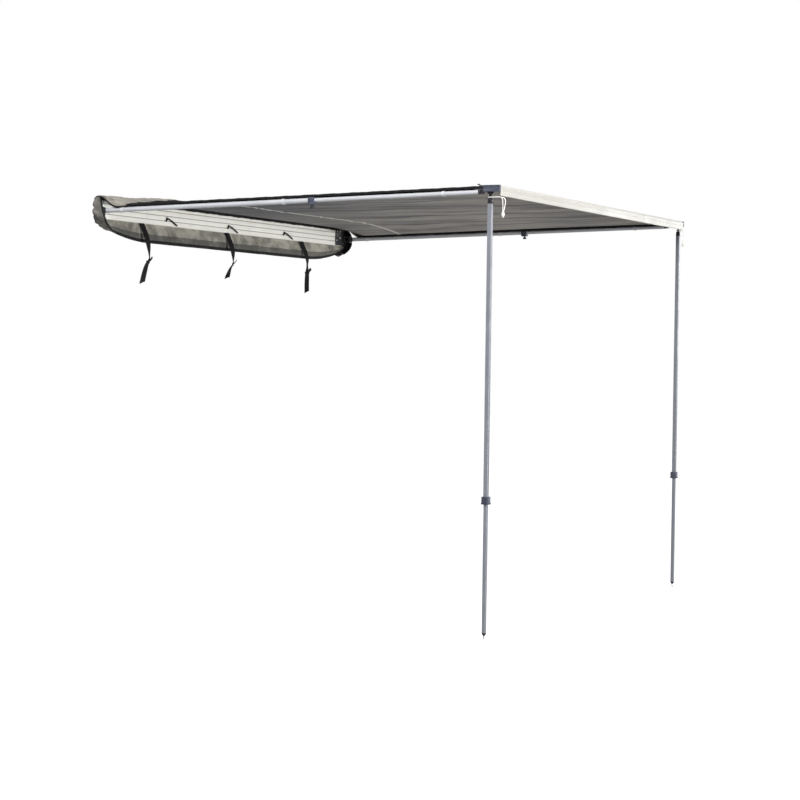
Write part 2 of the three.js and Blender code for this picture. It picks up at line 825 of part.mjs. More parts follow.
function addPoleClamp(side, pole, bottom, top, tubeBottom) {
  const half = poleClampSide / 2;
  const flare = half + poleClampFlare;
  const body = boxBetween(-half, half, -half, half, bottom, top);
  const skirt = boxBetween(-half, half, -flare, flare, bottom, bottom + poleClampHeight / 5);
  const seat = squareBar(upperTubeSide + 2 * gap, tubeBottom - gap, top + overrun);
  const through = squareBar(lowerTubeSide + 2 * slideGap, bottom - overrun, top + overrun);
  addPart(`pole_clamp_${side}`, carve(join(body, skirt), seat, through), 'slatePlastic', pole);

  const sign = mirrorFor(side);
  const face = sign * (half + leverSpacer);
  const leverTop = top - leverPivotRadius;
  const blade = boxBetween(
    face,
    face + sign * leverThickness,
    -leverWidth / 2,
    leverWidth / 2,
    leverTop - leverLength,
    leverTop,
  );
  const barrelX = face + sign * leverPivotRadius;
  const barrel = crossPin(barrelX, leverTop, -leverWidth / 2, leverWidth / 2, leverPivotRadius);
  addPart(`pole_clamp_lever_${side}`, toGeometry(join(blade, barrel)), 'slatePlastic', pole);
}

function addFoot(side, pole, footTop) {
  const bore = lowerTubeSide - 2 * lowerTubeWall;
  const footBottom = footTop - footHeight;
  const profile = [
    [0, footBottom],
    [footTipRadius, footBottom],
    [footRadius, footTop - gap],
    [0, footTop - gap],
  ].map(([radius, z]) => new THREE.Vector2(radius, z));
  const cone = new THREE.LatheGeometry(profile, roundSides).rotateX(Math.PI / 2);
  const plug = squareBar(bore - 2 * gap, footTop - footHeight / 2, footTop + footPlugLength);
  const socket = post(0, 0, footBottom - overrun, footBottom + spikeShank + gap, spikeRadius / 2 + gap);
  addPart(`pole_foot_${side}`, carve(join(cone, plug), socket), 'blackPlastic', pole);

  const spikeTop = footBottom - gap;
  const point = [
    [0, footBottom - spikeLength],
    [spikeRadius, spikeTop - spikeLength / 2],
    [spikeRadius, spikeTop],
    [spikeRadius / 2, spikeTop],
    [spikeRadius / 2, footBottom + spikeShank],
    [0, footBottom + spikeShank],
  ].map(([radius, z]) => new THREE.Vector2(radius, z));
  const spike = new THREE.LatheGeometry(point, smallSides).rotateX(Math.PI / 2);
  addPart(`pole_spike_${side}`, spike, 'steel', pole);
}

for (const side of ['left', 'right']) {
  addBracket(side);
  addArm(side);
  addCap(side);
  addPivot(side);
  addPole(side);
}

// Canopy: a taut sheet whose side edges come down on the arms

// A place from -1 to 1 that crowds towards both ends
function crowded(u) {
  return Math.sin((u - 0.5) * Math.PI * canopySpreadShare) / Math.sin((Math.PI * canopySpreadShare) / 2);
}

function armTopAt(y) {
  return hingeZ + (-y - leftHingeForward) * Math.tan(armSlope);
}

// The stretched sheet's height at a place, without its ripples
function canopyHeight(x, y) {
  const beamJoin = armEndZ + canopyFrontHeight;
  const flat = between(plateHalf + gap, beamJoin, smooth((-y - plateThickness) / -beamInnerY));
  const narrowing = smooth(-y / canopyDroopNarrowingLength);
  const width = between(canopyDroopWidthRear, canopyDroopWidthFront, narrowing);
  const edge = Math.min(Math.max(canopyHalf - Math.abs(x), 0) / width, 1);
  const droop = (1 - edge) ** canopyDroopPower * smooth((-y - canopyDroopStart) / canopyDroopLength);
  return flat - (flat - armTopAt(y) - canopyAboveArm) * droop;
}

function canopyPoint(u, v) {
  const across = crowded(u);
  const x = canopyHalf * across;
  const rear = -plateThickness + canopyOnPlate;
  const front = beamInnerY + gap * 2;
  const seamShare = 1 / canopyCellsOut;
  const past = Math.max(v - seamShare, 0) / (1 - seamShare);
  const out = past * past * canopyRearCrowdShare + past * (1 - canopyRearCrowdShare);
  const y = v < seamShare ? rear : between(-canopyDroopStart, front, out);
  const awayFromPlate = Math.sin(Math.PI * Math.min(out * 4, 1) / 2);
  const awayFromEdge = Math.min((canopyHalf - Math.abs(x)) / canopyCalmLength, 1);
  const calm = awayFromPlate * smooth((y - front) / canopyCalmLength) * awayFromEdge;
  const ripple = canopyRippleHeight * calm * (1 + Math.sin(canopyRipples * Math.PI * out + across * 2));
  return [x, y, canopyHeight(x, y) + ripple];
}

addPart(
  'canopy',
  sheetSolid(canopyPoint, () => [0, 0, canopyThickness], canopyCellsAcross, canopyCellsOut),
  'canopyCloth',
);

// Cover: a lower flap that hangs open, a top flap laid over the canopy, and two end panels

function lowerFlapPoint(u, v) {
  const x = (halfWidth - gap) * crowded(u);
  const fromEnd = Math.min((halfWidth - Math.abs(x)) / lowerFlapEndLength, 1);
  const rounding = (1 - (1 - fromEnd) ** 2) ** lowerFlapEndPower;
  const drop = between(lowerFlapEndDrop, lowerFlapDrop, rounding);
  const y = -plateThickness / 2 - lowerFlapForward * Math.sin(Math.PI * lowerFlapBellyShare * v);
  const z = -plateHalf - gap - drop * v;
  return [x, y, z];
}

function lowerFlapOffset(u, v) {
  return [0, v > seamStripShare ? clothThickness : clothThickness / 2, 0];
}

addPart(
  'cover_lower_flap',
  sheetSolid(lowerFlapPoint, lowerFlapOffset, lowerFlapCells, lowerFlapRows),
  'coverCloth',
);

// Shares of the flap's reach, lift and end droop, from its seam on the plate to the zip edge
const topFlapProfileShares = [
  [0.024, 0, 0], [0.024, 0.25, 0], [0.07, 0.62, 0], [0.17, 0.9, 0.15], [0.31, 1, 0.5],
  [0.45, 1, 0.95], [0.64, 0.96, 1], [0.84, 0.84, 0.45], [1, 0.66, 0.12],
];

// Shares of the half width and of the droop at the ends
const topFlapEndShares = [
  [1, 1], [1, 0.5], [0.999, 0.12], [0.985, 0], [0.95, 0], [0.88, 0], [0.79, 0], [0.66, 0],
  [0.45, 0], [0.15, 0],
];
const topFlapSpanShares = [
  ...topFlapEndShares.map(([span, droop]) => [-span, droop]),
  ...topFlapEndShares.toReversed(),
];

// The row's place along the plate and its share of the end droop
function topFlapRow(u) {
  const [spanShare, droopShare] = topFlapSpanShares[Math.round(u * (topFlapSpanShares.length - 1))];
  return [(halfWidth - topFlapInset) * spanShare, droopShare];
}

function topFlapProfile(v) {
  const last = topFlapProfileShares.length - 1;
  return topFlapProfileShares[Math.min(Math.max(Math.round(v * last), 0), last)];
}

// Out from the plate and up, over the canopy, without the droop of the ends
function topFlapLine(x, v) {
  const [forwardShare, liftShare] = topFlapProfile(v);
  const y = -topFlapForward * forwardShare;
  const fromEnd = smooth((halfWidth - Math.abs(x)) / topFlapEndLiftLength);
  const lift = topFlapLift * between(topFlapEndLiftShare, 1, fromEnd);
  return [y, canopyHeight(x, Math.min(y, -plateThickness)) + lift * liftShare];
}

function topFlapPoint(u, v) {
  const [x, droopShare] = topFlapRow(u);
  const [y, z] = topFlapLine(x, v);
  return [x, y, z - topFlapEndDroop * droopShare * topFlapProfile(v)[2]];
}

// The cloth's thickness, square to the profile and outwards where the ends droop
function topFlapOffset(u, v) {
  const [x, droopShare] = topFlapRow(u);
  const step = 1 / (topFlapProfileShares.length - 1);
  const [y0, z0] = topFlapLine(x, v - step);
  const [y1, z1] = topFlapLine(x, v + step);
  const length = Math.hypot(y1 - y0, z1 - z0);
  const outwards = droopShare > 0 ? Math.sign(x) * clothThickness : 0;
  return [outwards, ((z1 - z0) / length) * clothThickness, ((y0 - y1) / length) * clothThickness];
}

addPart(
  'cover_top_flap',
  sheetSolid(topFlapPoint, topFlapOffset, topFlapSpanShares.length - 1, topFlapProfileShares.length - 1),
  'coverCloth',
);

function endPanelPoint(sign, forward) {
  return (u, v) => {
    const top = plateHalf + between(endPanelRearTop, endPanelTop, smooth(v / endPanelTopRoundShare));
    const bottom = -plateHalf - between(endPanelRearBottom, endPanelBottom, v ** endPanelBottomPower);
    const z = between(bottom, top, u);
    const waist = Math.sin(Math.PI * between(...endPanelWaistShares, u)) ** endPanelWaistPower;
    const y = between(-endPanelSeamInset, -forward * waist, v);
    const past = Math.max(v - endPanelSeamShare, 0) / (1 - endPanelSeamShare);
    const puffAlong = Math.sin(Math.PI * endPanelPuffEndShare * past);
    const puff = puffAlong * Math.sin(Math.PI * between(...endPanelPuffShares, u));
    const tuck = endPanelTuck * past ** 2 * (1 - u) ** endPanelTuckPower;
    const x = sign * (halfWidth + gap + endPanelBulge * puff - tuck);
    return [x, y, z];
  };
}

const panelForward = { left: leftPanelForward, right: rightPanelForward };

for (const side of ['left', 'right']) {
  const sign = mirrorFor(side);
  addPart(
    `cover_end_panel_${side}`,
    sheetSolid(
      endPanelPoint(sign, panelForward[side]),
      () => [sign * clothThickness, 0, 0],
      endPanelCells,
      endPanelCells,
    ),
    'coverCloth',
  );
}

// Straps that hang from the plate's lower edge: each is one ribbon that turns as it falls

// Shares of the drop sideways, of the hang forward and of the drop down, and of a half turn of the ribbon
const strapRouteShares = {
  left: [
    [0, 0, 0, -0.25], [0.01, 0.33, 0.086, -0.25], [0.024, 0.7, 0.19, -0.24],
    [0.045, 0.97, 0.317, -0.16], [0.083, 1, 0.545, 0.08], [0.093, 0.97, 0.593, 0.1],
    [0.028, 0.87, 0.738, -0.12], [-0.048, 0.83, 1, -0.3],
  ],
  middle: [
    [0, 0, 0, -0.25], [0.011, 0.33, 0.095, -0.25], [0.031, 0.7, 0.21, -0.24],
    [0.053, 0.97, 0.351, -0.16], [0.076, 1, 0.565, 0.08], [0.084, 0.97, 0.618, 0.1],
    [0.015, 0.87, 0.763, -0.1], [-0.084, 0.83, 1, -0.3],
  ],
  right: [
    [0, 0, 0, -0.22], [0.014, 0.33, 0.09, -0.22], [0.036, 0.7, 0.2, -0.2],
    [0.058, 1, 0.333, -0.1], [0.069, 1, 0.471, 0.05], [0.072, 0.97, 0.688, -0.2],
    [0.076, 0.93, 0.851, -0.3], [0.087, 0.9, 1, -0.3],
  ],
};
const strapPlaces = {
  left: strapShift - strapSpacing,
  middle: strapShift,
  right: strapShift + strapSpacing,
};

// The short end that sticks out above the bend of a strap, from a place inside the ribbon
function strapTail(start, turn) {
  const reach = new THREE.Vector3(...strapTailReach);
  const along = reach.clone().normalize();
  const flat = new THREE.Vector3(Math.cos(turn), Math.sin(turn), 0);
  const across = flat.clone().addScaledVector(along, -flat.dot(along)).normalize();
  const out = across.clone().cross(along).multiplyScalar(strapThickness);
  const root = start.clone().addScaledVector(out, -0.5).addScaledVector(along, -strapTailSink);
  const point = (u, v) => root.clone()
    .addScaledVector(reach, u)
    .addScaledVector(across, (v - 0.5) * strapTailWidth)
    .toArray();
  return sheetSolid(point, () => out.toArray(), strapTailSteps, 1);
}

function addStrap(name) {
  const route = strapRouteShares[name];
  const drop = strapDrop[name];
  const points = route.map(([acrossShare, forwardShare, dropShare]) => new THREE.Vector3(
    strapPlaces[name] + drop * acrossShare,
    -plateThickness / 2 - strapForward - strapHang * forwardShare,
    -plateHalf - gap - drop * dropShare,
  ));
  const curve = new THREE.CatmullRomCurve3(points, false, 'centripetal');
  const turnAt = (t) => {
    const place = t * (route.length - 1);
    const index = Math.min(Math.floor(place), route.length - 2);
    return Math.PI * between(route[index][3], route[index + 1][3], place - index);
  };
  const point = (u, v) => {
    const centre = curve.getPoint(u);
    const turn = turnAt(u);
    const reachAcross = (v - 0.5) * strapWidth;
    return [centre.x + reachAcross * Math.cos(turn), centre.y + reachAcross * Math.sin(turn), centre.z];
  };
  const offset = (u) => {
    const turn = turnAt(u);
    return [strapThickness * Math.sin(turn), -strapThickness * Math.cos(turn), 0];
  };
  const ribbon = sheetSolid(point, offset, strapSteps, 1);
  const tail = strapTail(curve.getPoint(strapTailShare), turnAt(strapTailShare));
  addPart(`strap_${name}`, toGeometry(join(ribbon, tail)), 'webbing');
}

Object.keys(strapRouteShares).forEach(addStrap);

// Cord ties on the plate's face: a button with a short end and a long tail

// Along the plate, out from its face, and down, in millimetres
const tieTailRoute = [[0, 5.4, 0], [16, 7.6, 4], [38, 8, 11], [62, 6.6, 20], [88, 5, 29]];
const tieEndRoute = [[0, 5.4, 0], [-8, 6.4, 6], [-16, 5.4, 14]];
const tiePlaces = { left: tieShift - tieSpacing, middle: tieShift, right: tieShift + tieSpacing };

function circlePoints(radius, sides) {
  return Array.from({ length: sides }, (_, i) => {
    const angle = (2 * Math.PI * i) / sides;
    return [radius * Math.cos(angle), radius * Math.sin(angle)];
  });
}

function cordTube(points, radius, steps) {
  const path = new THREE.CatmullRomCurve3(points, false, 'centripetal');
  const section = outline(circlePoints(radius, cordSides));
  return new THREE.ExtrudeGeometry(section, { steps, extrudePath: path, bevelEnabled: false });
}

function tieTube(route, x, steps) {
  const points = route.map(([along, out, drop]) => new THREE.Vector3(
    x + along,
    -plateThickness - out,
    -tieDrop - drop,
  ));
  return cordTube(points, tieRadius, steps);
}

function addTie(name) {
  const x = tiePlaces[name];
  const back = -plateThickness - gap;
  const button = crossPin(x, -tieDrop, back - tieButtonHeight, back, tieButtonRadius);
  const tail = tieTube(tieTailRoute, x, tieTailSteps);
  const end = tieTube(tieEndRoute, x, tieEndSteps);
  addPart(`tie_${name}`, toGeometry(join(button, tail, end)), 'webbing');
}

Object.keys(tiePlaces).forEach(addTie);

// Guy ropes: each goes round its knuckle's neck and hangs down outside the beam to a bead

// One strand from the bead upwards: across from the pole, out from the beam's face, and above the pivot
const ropeStrand = [
  [-11.6, 9, -52], [-11.8, 9, -44], [-13, 9, -24], [-15, 9, -6], [-16, 7.4, 5], [-15.4, 2, 11.6],
];

// The turn round the neck: across from the pole and behind the neck
const ropeTurn = [[-11.6, -14], [-8.9, 0], [-6.3, 6.3], [0, 8.8], [6.3, 6.3], [8.9, 0], [7.8, -14]];

// The other strand back down to the bead
const ropeReturn = [[1.4, 2, 11.6], [0, 7.4, 5], [-1.4, 9, -6], [-4, 9, -24], [-6, 9, -44], [-6.2, 9, -52]];
const ropeTurnAbovePivot = 13.4;
const ropeSteps = 44;

function ropePoints(side) {
  const x = mirrorFor(side) * poleX;
  const strand = (route) => route.map(([across, out, up]) => new THREE.Vector3(
    x + across,
    beamOuterY - out,
    pivotZ + up,
  ));
  const turn = ropeTurn.map(([across, behind]) => new THREE.Vector3(
    x + across,
    poleY[side] + behind,
    pivotZ + ropeTurnAbovePivot,
  ));
  return [...strand(ropeStrand), ...turn, ...strand(ropeReturn)];
}

function addRope(side) {
  const points = ropePoints(side);
  addPart(`guy_rope_${side}`, cordTube(points, ropeRadius, ropeSteps), 'rope');
  const start = points[0];
  const end = points[points.length - 1];
  const top = start.z - gap;
  const profile = beadShares.map(([radiusShare, heightShare]) => new THREE.Vector2(
    beadRadius * radiusShare,
    top - beadHeight * (1 - heightShare),
  ));
  const bead = new THREE.LatheGeometry(profile, smallSides).rotateX(Math.PI / 2);
  addPart(`guy_bead_${side}`, bead.translate((start.x + end.x) / 2, start.y, 0), 'rope');
}

for (const side of ['left', 'right']) {
  addRope(side);
}

export default awning;
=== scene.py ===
import json
import math

import bmesh
import bpy
import numpy as np
from mathutils import Matrix, Vector, noise


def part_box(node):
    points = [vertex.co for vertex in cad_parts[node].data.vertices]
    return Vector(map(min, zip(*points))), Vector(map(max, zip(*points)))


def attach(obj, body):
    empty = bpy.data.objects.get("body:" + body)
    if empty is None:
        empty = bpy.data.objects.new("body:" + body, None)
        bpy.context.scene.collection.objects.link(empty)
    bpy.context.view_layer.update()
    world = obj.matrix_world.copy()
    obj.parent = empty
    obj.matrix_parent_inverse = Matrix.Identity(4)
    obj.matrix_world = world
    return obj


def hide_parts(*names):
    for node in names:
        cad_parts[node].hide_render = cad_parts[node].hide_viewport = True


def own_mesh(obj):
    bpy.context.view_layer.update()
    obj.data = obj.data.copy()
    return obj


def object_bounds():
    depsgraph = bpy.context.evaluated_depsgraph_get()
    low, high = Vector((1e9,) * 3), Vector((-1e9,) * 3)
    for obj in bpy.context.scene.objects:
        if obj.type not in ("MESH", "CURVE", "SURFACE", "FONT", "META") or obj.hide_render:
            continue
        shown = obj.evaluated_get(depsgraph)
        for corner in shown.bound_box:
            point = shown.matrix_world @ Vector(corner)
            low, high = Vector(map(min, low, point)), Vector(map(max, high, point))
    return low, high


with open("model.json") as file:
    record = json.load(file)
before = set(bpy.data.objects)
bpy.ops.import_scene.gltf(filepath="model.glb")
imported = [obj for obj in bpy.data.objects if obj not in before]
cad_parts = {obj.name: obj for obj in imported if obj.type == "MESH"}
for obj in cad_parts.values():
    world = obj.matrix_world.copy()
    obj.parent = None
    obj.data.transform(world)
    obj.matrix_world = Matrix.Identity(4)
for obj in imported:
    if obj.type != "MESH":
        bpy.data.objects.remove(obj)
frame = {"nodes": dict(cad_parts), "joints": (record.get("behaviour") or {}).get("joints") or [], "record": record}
cad_low, cad_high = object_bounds()
nodes = frame["nodes"]
joints = {joint["name"]: joint for joint in frame["joints"]}
bodies = frame["record"]["behaviour"]["bodies"]
body_of = {node: body for body, members in bodies.items() for node in members}
SIDES = {"left": -1, "right": 1}
MILLIMETRE = 0.001
REST_GAP = 0.0003

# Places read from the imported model
plate_low, plate_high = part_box("backing_plate")
plate_top = plate_high.z
plate_bottom = plate_low.z
beam_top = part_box("front_beam")[1].z
half_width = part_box("end_bracket_right")[1].x
ground = cad_low.z
arm_out = -Vector(joints["beam_slide"]["axis"])
arm_hinge = {side: Vector(joints[f"arm_{side}_swing"]["pos_m"]) for side in SIDES}
pole_pivot = {side: Vector(joints[f"pole_{side}_fold"]["pos_m"]) for side in SIDES}


# Camera: the photograph's viewing angle

CAMERA_PLACE = (-9.511, -5.544, -0.657)
CAMERA_AZIMUTH = math.radians(-64.402)
CAMERA_PITCH = math.radians(1.2417)
CAMERA_ROLL = math.radians(0.8189)
CAMERA_LENS = 95.397
CAMERA_SENSOR = 36
CAMERA_CLIP = (0.1, 300)


def make_camera():
    flat = math.cos(CAMERA_PITCH)
    forward = Vector((
        -math.sin(CAMERA_AZIMUTH) * flat,
        math.cos(CAMERA_AZIMUTH) * flat,
        -math.sin(CAMERA_PITCH),
    ))
    level = Vector((math.cos(CAMERA_AZIMUTH), math.sin(CAMERA_AZIMUTH), 0))
    upright = level.cross(forward)
    right = math.cos(CAMERA_ROLL) * level + math.sin(CAMERA_ROLL) * upright
    up = math.cos(CAMERA_ROLL) * upright - math.sin(CAMERA_ROLL) * level
    turn = Matrix((right, up, -forward)).transposed()
    data = bpy.data.cameras.new("camera")
    data.lens = CAMERA_LENS
    data.sensor_width = CAMERA_SENSOR
    data.clip_start, data.clip_end = CAMERA_CLIP
    camera = bpy.data.objects.new("camera", data)
    camera.matrix_world = Matrix.Translation(CAMERA_PLACE) @ turn.to_4x4()
    bpy.context.scene.collection.objects.link(camera)
    bpy.context.scene.camera = camera


make_camera()


# Material helpers

def rgb(red, green, blue):
    """A colour from its 0 to 255 values, as a linear colour."""
    channels = [value / 255 for value in (red, green, blue)]
    return tuple(
        value / 12.92 if value <= 0.04045 else ((value + 0.055) / 1.055) ** 2.4
        for value in channels
    ) + (1.0,)


def add_node(tree, kind, inputs=None, **settings):
    """A new shader node. Each input is a value or the output of another node."""
    made = tree.nodes.new(kind)
    for setting, value in settings.items():
        setattr(made, setting, value)
    for socket, value in (inputs or {}).items():
        if isinstance(value, bpy.types.NodeSocket):
            tree.links.new(value, made.inputs[socket])
        else:
            made.inputs[socket].default_value = value
    return made


class Finish:
    """A material with one Principled shader and short ways to add its procedural nodes."""

    def __init__(self, name, specular=0.4, metallic=0.0, sheen=0.0):
        self.material = bpy.data.materials.new(name)
        self.material.use_nodes = True
        self.tree = self.material.node_tree
        self.shader = self.tree.nodes["Principled BSDF"]
        self.shader.inputs["Specular IOR Level"].default_value = specular
        self.shader.inputs["Metallic"].default_value = metallic
        self.shader.inputs["Sheen Weight"].default_value = sheen

    def node(self, kind, inputs=None, **settings):
        return add_node(self.tree, kind, inputs, **settings)

    def place(self, scale=(1, 1, 1), cloth_map=False, turn=0.0):
        """Points of the surface in metres, times a scale: its own frame, or the cloth's flat map."""
        source = self.node("ShaderNodeTexCoord").outputs["UV" if cloth_map else "Object"]
        inputs = {"Vector": source, "Scale": scale, "Rotation": (0, 0, turn)}
        return self.node("ShaderNodeMapping", inputs).outputs["Vector"]

    def noise(self, place, scale, detail=3.0, roughness=0.55, distortion=0.0):
        inputs = {
            "Vector": place, "Scale": scale, "Detail": detail,
            "Roughness": roughness, "Distortion": distortion,
        }
        return self.node("ShaderNodeTexNoise", inputs).outputs["Fac"]

    def waves(self, place, scale, direction="X"):
        inputs = {"Vector": place, "Scale": scale, "Detail": 1.0}
        return self.node("ShaderNodeTexWave", inputs, bands_direction=direction).outputs["Fac"]

    def weave(self, place, scale):
        """Threads that cross, as many to the metre each way."""
        return self.times(self.waves(place, scale, "X"), self.waves(place, scale, "Y"))

    def maths(self, operation, first, second=0.5):
        return self.node("ShaderNodeMath", {0: first, 1: second}, operation=operation).outputs[0]

    def times(self, first, second):
        return self.maths("MULTIPLY", first, second)

    def parts(self, vector):
        return self.node("ShaderNodeSeparateXYZ", {0: vector}).outputs

    def span(self, value, low, high, to_low=0.0, to_high=1.0):
        inputs = {"Value": value, "From Min": low, "From Max": high, "To Min": to_low, "To Max": to_high}
        return self.node("ShaderNodeMapRange", inputs, interpolation_type="SMOOTHSTEP").outputs["Result"]

    def blend(self, share, first, second):
        inputs = {0: share, 6: first, 7: second}
        return self.node("ShaderNodeMix", inputs, data_type="RGBA").outputs[2]

    def dressed(self, colour, roughness, *relief):
        """The finished material. Each layer of relief is a height with its depth in metres."""
        normal = None
        for height, depth in relief:
            inputs = {"Height": height, "Distance": depth, "Strength": 1.0}
            if normal is not None:
                inputs["Normal"] = normal
            normal = self.node("ShaderNodeBump", inputs).outputs["Normal"]
        for socket, value in (("Base Color", colour), ("Roughness", roughness), ("Normal", normal)):
            self.tree.links.new(value, self.shader.inputs[socket])
        return self.material


# Materials. Scales are turns or features to the metre, and depths are metres.

# Painted shade for the bands in the plate's grooves and on the beam's faces
BAND_SHADE = rgb(96, 94, 88)
CREASE_WHITE = rgb(176, 172, 158)
RIPSTOP_GRID = rgb(150, 147, 138)
# Painted shade for the canopy's corner by the case
CANOPY_CORNER_SHADE = rgb(72, 74, 81)
# Plain colour for the canopy's faces turned up, which carry no painted fold shade
CANOPY_UPPER = rgb(140, 136, 130)


def powder_coat(name, colour, shade, grooves):
    """Painted extrusion: orange peel, rubbed streaks, dust, and bands of painted shade in its grooves and across
    its faces.
    """
    finish = Finish(name, specular=0.45)
    place = finish.place()
    dust = finish.noise(place, 9, detail=5)
    streak = finish.noise(finish.place(scale=(0.6, 60, 60)), 4, detail=2)
    share = finish.times(finish.span(dust, 0.35, 0.8), finish.span(streak, 0.3, 0.75))
    tone = finish.blend(share, colour, shade)
    height = finish.parts(place)["Z"]
    # Painted shade: each band darkens the colour in a groove or across a face turned from the light.
    for groove, half_height, strength in grooves:
        away = finish.maths("ABSOLUTE", finish.maths("SUBTRACT", height, groove))
        shade_mask = finish.span(away, half_height, half_height * 0.4)
        tone = finish.blend(finish.times(shade_mask, strength), tone, BAND_SHADE)
    peel = finish.noise(place, 700, detail=1)
    rough = finish.span(dust, 0.2, 0.8, 0.36, 0.52)
    return finish.dressed(tone, rough, (peel, 0.00006), (streak, 0.00004))


def drawn_aluminium(name, colour, shade, along, metallic):
    """Anodised tube: fine drawing lines along one axis, with faint rubbed patches."""
    finish = Finish(name, metallic=metallic, specular=0.4)
    stretch = [420, 420, 420]
    stretch["XYZ".index(along)] = 1.2
    lines = finish.noise(finish.place(scale=stretch), 1, detail=3)
    rubbed = finish.noise(finish.place(), 14, detail=5)
    share = finish.times(finish.span(lines, 0.25, 0.8), finish.span(rubbed, 0.2, 0.8))
    rough = finish.span(rubbed, 0.2, 0.8, 0.3, 0.44)
    return finish.dressed(finish.blend(share, colour, shade), rough, (lines, 0.00001))


def moulded_plastic(name, colour, shade, rough=0.5):
    """Moulded plastic with a spark-eroded grain and scuffed, slightly paler patches."""
    finish = Finish(name, specular=0.42)
    place = finish.place()
    grain = finish.noise(place, 1100, detail=2)
    scuff = finish.noise(place, 55, detail=5, distortion=0.6)
    tone = finish.blend(finish.span(scuff, 0.45, 0.8), colour, shade)
    rough = finish.span(scuff, 0.2, 0.8, rough - 0.06, rough + 0.1)
    return finish.dressed(tone, rough, (grain, 0.00008), (scuff, 0.00005))


def zinc_steel(name, colour, shade):
    """Bright zinc plate: pale blotches and a fine tumbled texture."""
    finish = Finish(name, metallic=1.0)
    place = finish.place()
    blotch = finish.noise(place, 180, detail=4)
    tone = finish.blend(finish.span(blotch, 0.3, 0.75), colour, shade)
    rough = finish.span(blotch, 0.2, 0.8, 0.24, 0.42)
    return finish.dressed(tone, rough, (finish.noise(place, 1500, detail=2), 0.00003))


def cover_cloth(name, pale, dark, patch_low=0.35, patch_high=0.72):
    """Coated bag cloth: a plain weave under the coating, rubbed blotches and whitened creases."""
    finish = Finish(name, specular=0.35)
    weave = finish.weave(finish.place(cloth_map=True), 160)
    place = finish.place()
    blotch = finish.noise(place, 11, detail=6, roughness=0.6, distortion=0.4)
    speckle = finish.noise(place, 120, detail=4)
    cells = {"Vector": place, "Scale": 16.0, "Randomness": 1.0}
    crease = finish.node("ShaderNodeTexVoronoi", cells, feature="DISTANCE_TO_EDGE").outputs["Distance"]
    creased = finish.times(finish.span(crease, 0.035, 0.0), finish.span(blotch, 0.45, 0.65))
    tone = finish.blend(finish.span(blotch, patch_low, patch_high), dark, pale)
    tone = finish.blend(finish.times(creased, 0.35), tone, CREASE_WHITE)
    tone = finish.blend(finish.span(speckle, 0.62, 0.8, 0.0, 0.3), tone, dark)
    rough = finish.span(blotch, 0.3, 0.75, 0.55, 0.75)
    return finish.dressed(tone, rough, (speckle, 0.0004), (weave, 0.00018))


def canopy_cloth(name, pale, dark):
    """Ripstop canopy: a fine weave, a raised grid, long soft streaks from case to beam whose colour is partly
    painted fold shade and light, and painted shade near its case corner.
    """
    finish = Finish(name, specular=0.25, sheen=0.12)
    cloth_map = finish.place(cloth_map=True)
    weave = finish.weave(cloth_map, 300)
    ridges = [finish.span(finish.waves(cloth_map, 28, way), 0.93, 1.0) for way in "XY"]
    grid = finish.maths("MAXIMUM", *ridges)
    streak = finish.noise(finish.place(scale=(11, 0.8, 1)), 1.0, detail=5, roughness=0.6, distortion=0.7)
    cloud = finish.noise(finish.place(), 2.2, detail=4)
    share = finish.maths("ADD", finish.times(streak, 0.7), finish.times(cloud, 0.3))
    # The streaks' colour is partly painted fold shade and light, partly random tone.
    tone = finish.blend(finish.span(share, 0.4, 0.6), dark, pale)
    tone = finish.blend(finish.times(grid, 0.12), tone, RIPSTOP_GRID)
    # Painted shade: the canopy darkens towards the plate at its left end, by the case's corner.
    spot = finish.parts(finish.place())
    from_corner = finish.maths("SUBTRACT", finish.times(spot["X"], 0.625), finish.times(spot["Y"], 0.9))
    corner_shade = finish.times(finish.span(from_corner, 1.15, 0.0), 0.85)
    tone = finish.blend(corner_shade, tone, CANOPY_CORNER_SHADE)
    # Faces turned up get a plain colour, so the painted fold shade stays on the underside.
    facing = finish.parts(finish.node("ShaderNodeNewGeometry").outputs["Normal"])["Z"]
    tone = finish.blend(finish.times(finish.span(facing, 0.0, 0.4), 0.72), tone, CANOPY_UPPER)
    rough = finish.span(share, 0.3, 0.7, 0.78, 0.92)
    return finish.dressed(tone, rough, (streak, 0.0012), (grid, 0.00012), (weave, 0.00008))


def webbing(name, colour, shade, rib=260):
    """Woven strap: ribs across its width and a herringbone along it."""
    finish = Finish(name, specular=0.3)
    strap_map = finish.place(cloth_map=True)
    weave = finish.times(finish.waves(strap_map, rib), finish.waves(strap_map, rib * 1.4, "DIAGONAL"))
    fuzz = finish.noise(finish.place(), 300, detail=4)
    tone = finish.blend(finish.times(weave, fuzz), colour, shade)
    return finish.dressed(tone, finish.span(fuzz, 0.2, 0.8, 0.72, 0.92), (weave, 0.0003), (fuzz, 0.0001))


def braided_rope(name, colour, shade):
    """Braided cord: two families of strands that cross round it."""
    finish = Finish(name, specular=0.3)
    strands = [
        finish.waves(finish.place(scale=(1, 0.6, 1), cloth_map=True, turn=turn), 190)
        for turn in (0.6, -0.6)
    ]
    braid = finish.maths("MAXIMUM", *strands)
    fuzz = finish.noise(finish.place(), 500, detail=3)
    tone = finish.blend(finish.times(braid, 0.9), shade, colour)
    return finish.dressed(tone, finish.span(fuzz, 0.2, 0.8, 0.7, 0.9), (braid, 0.0005), (fuzz, 0.0001))
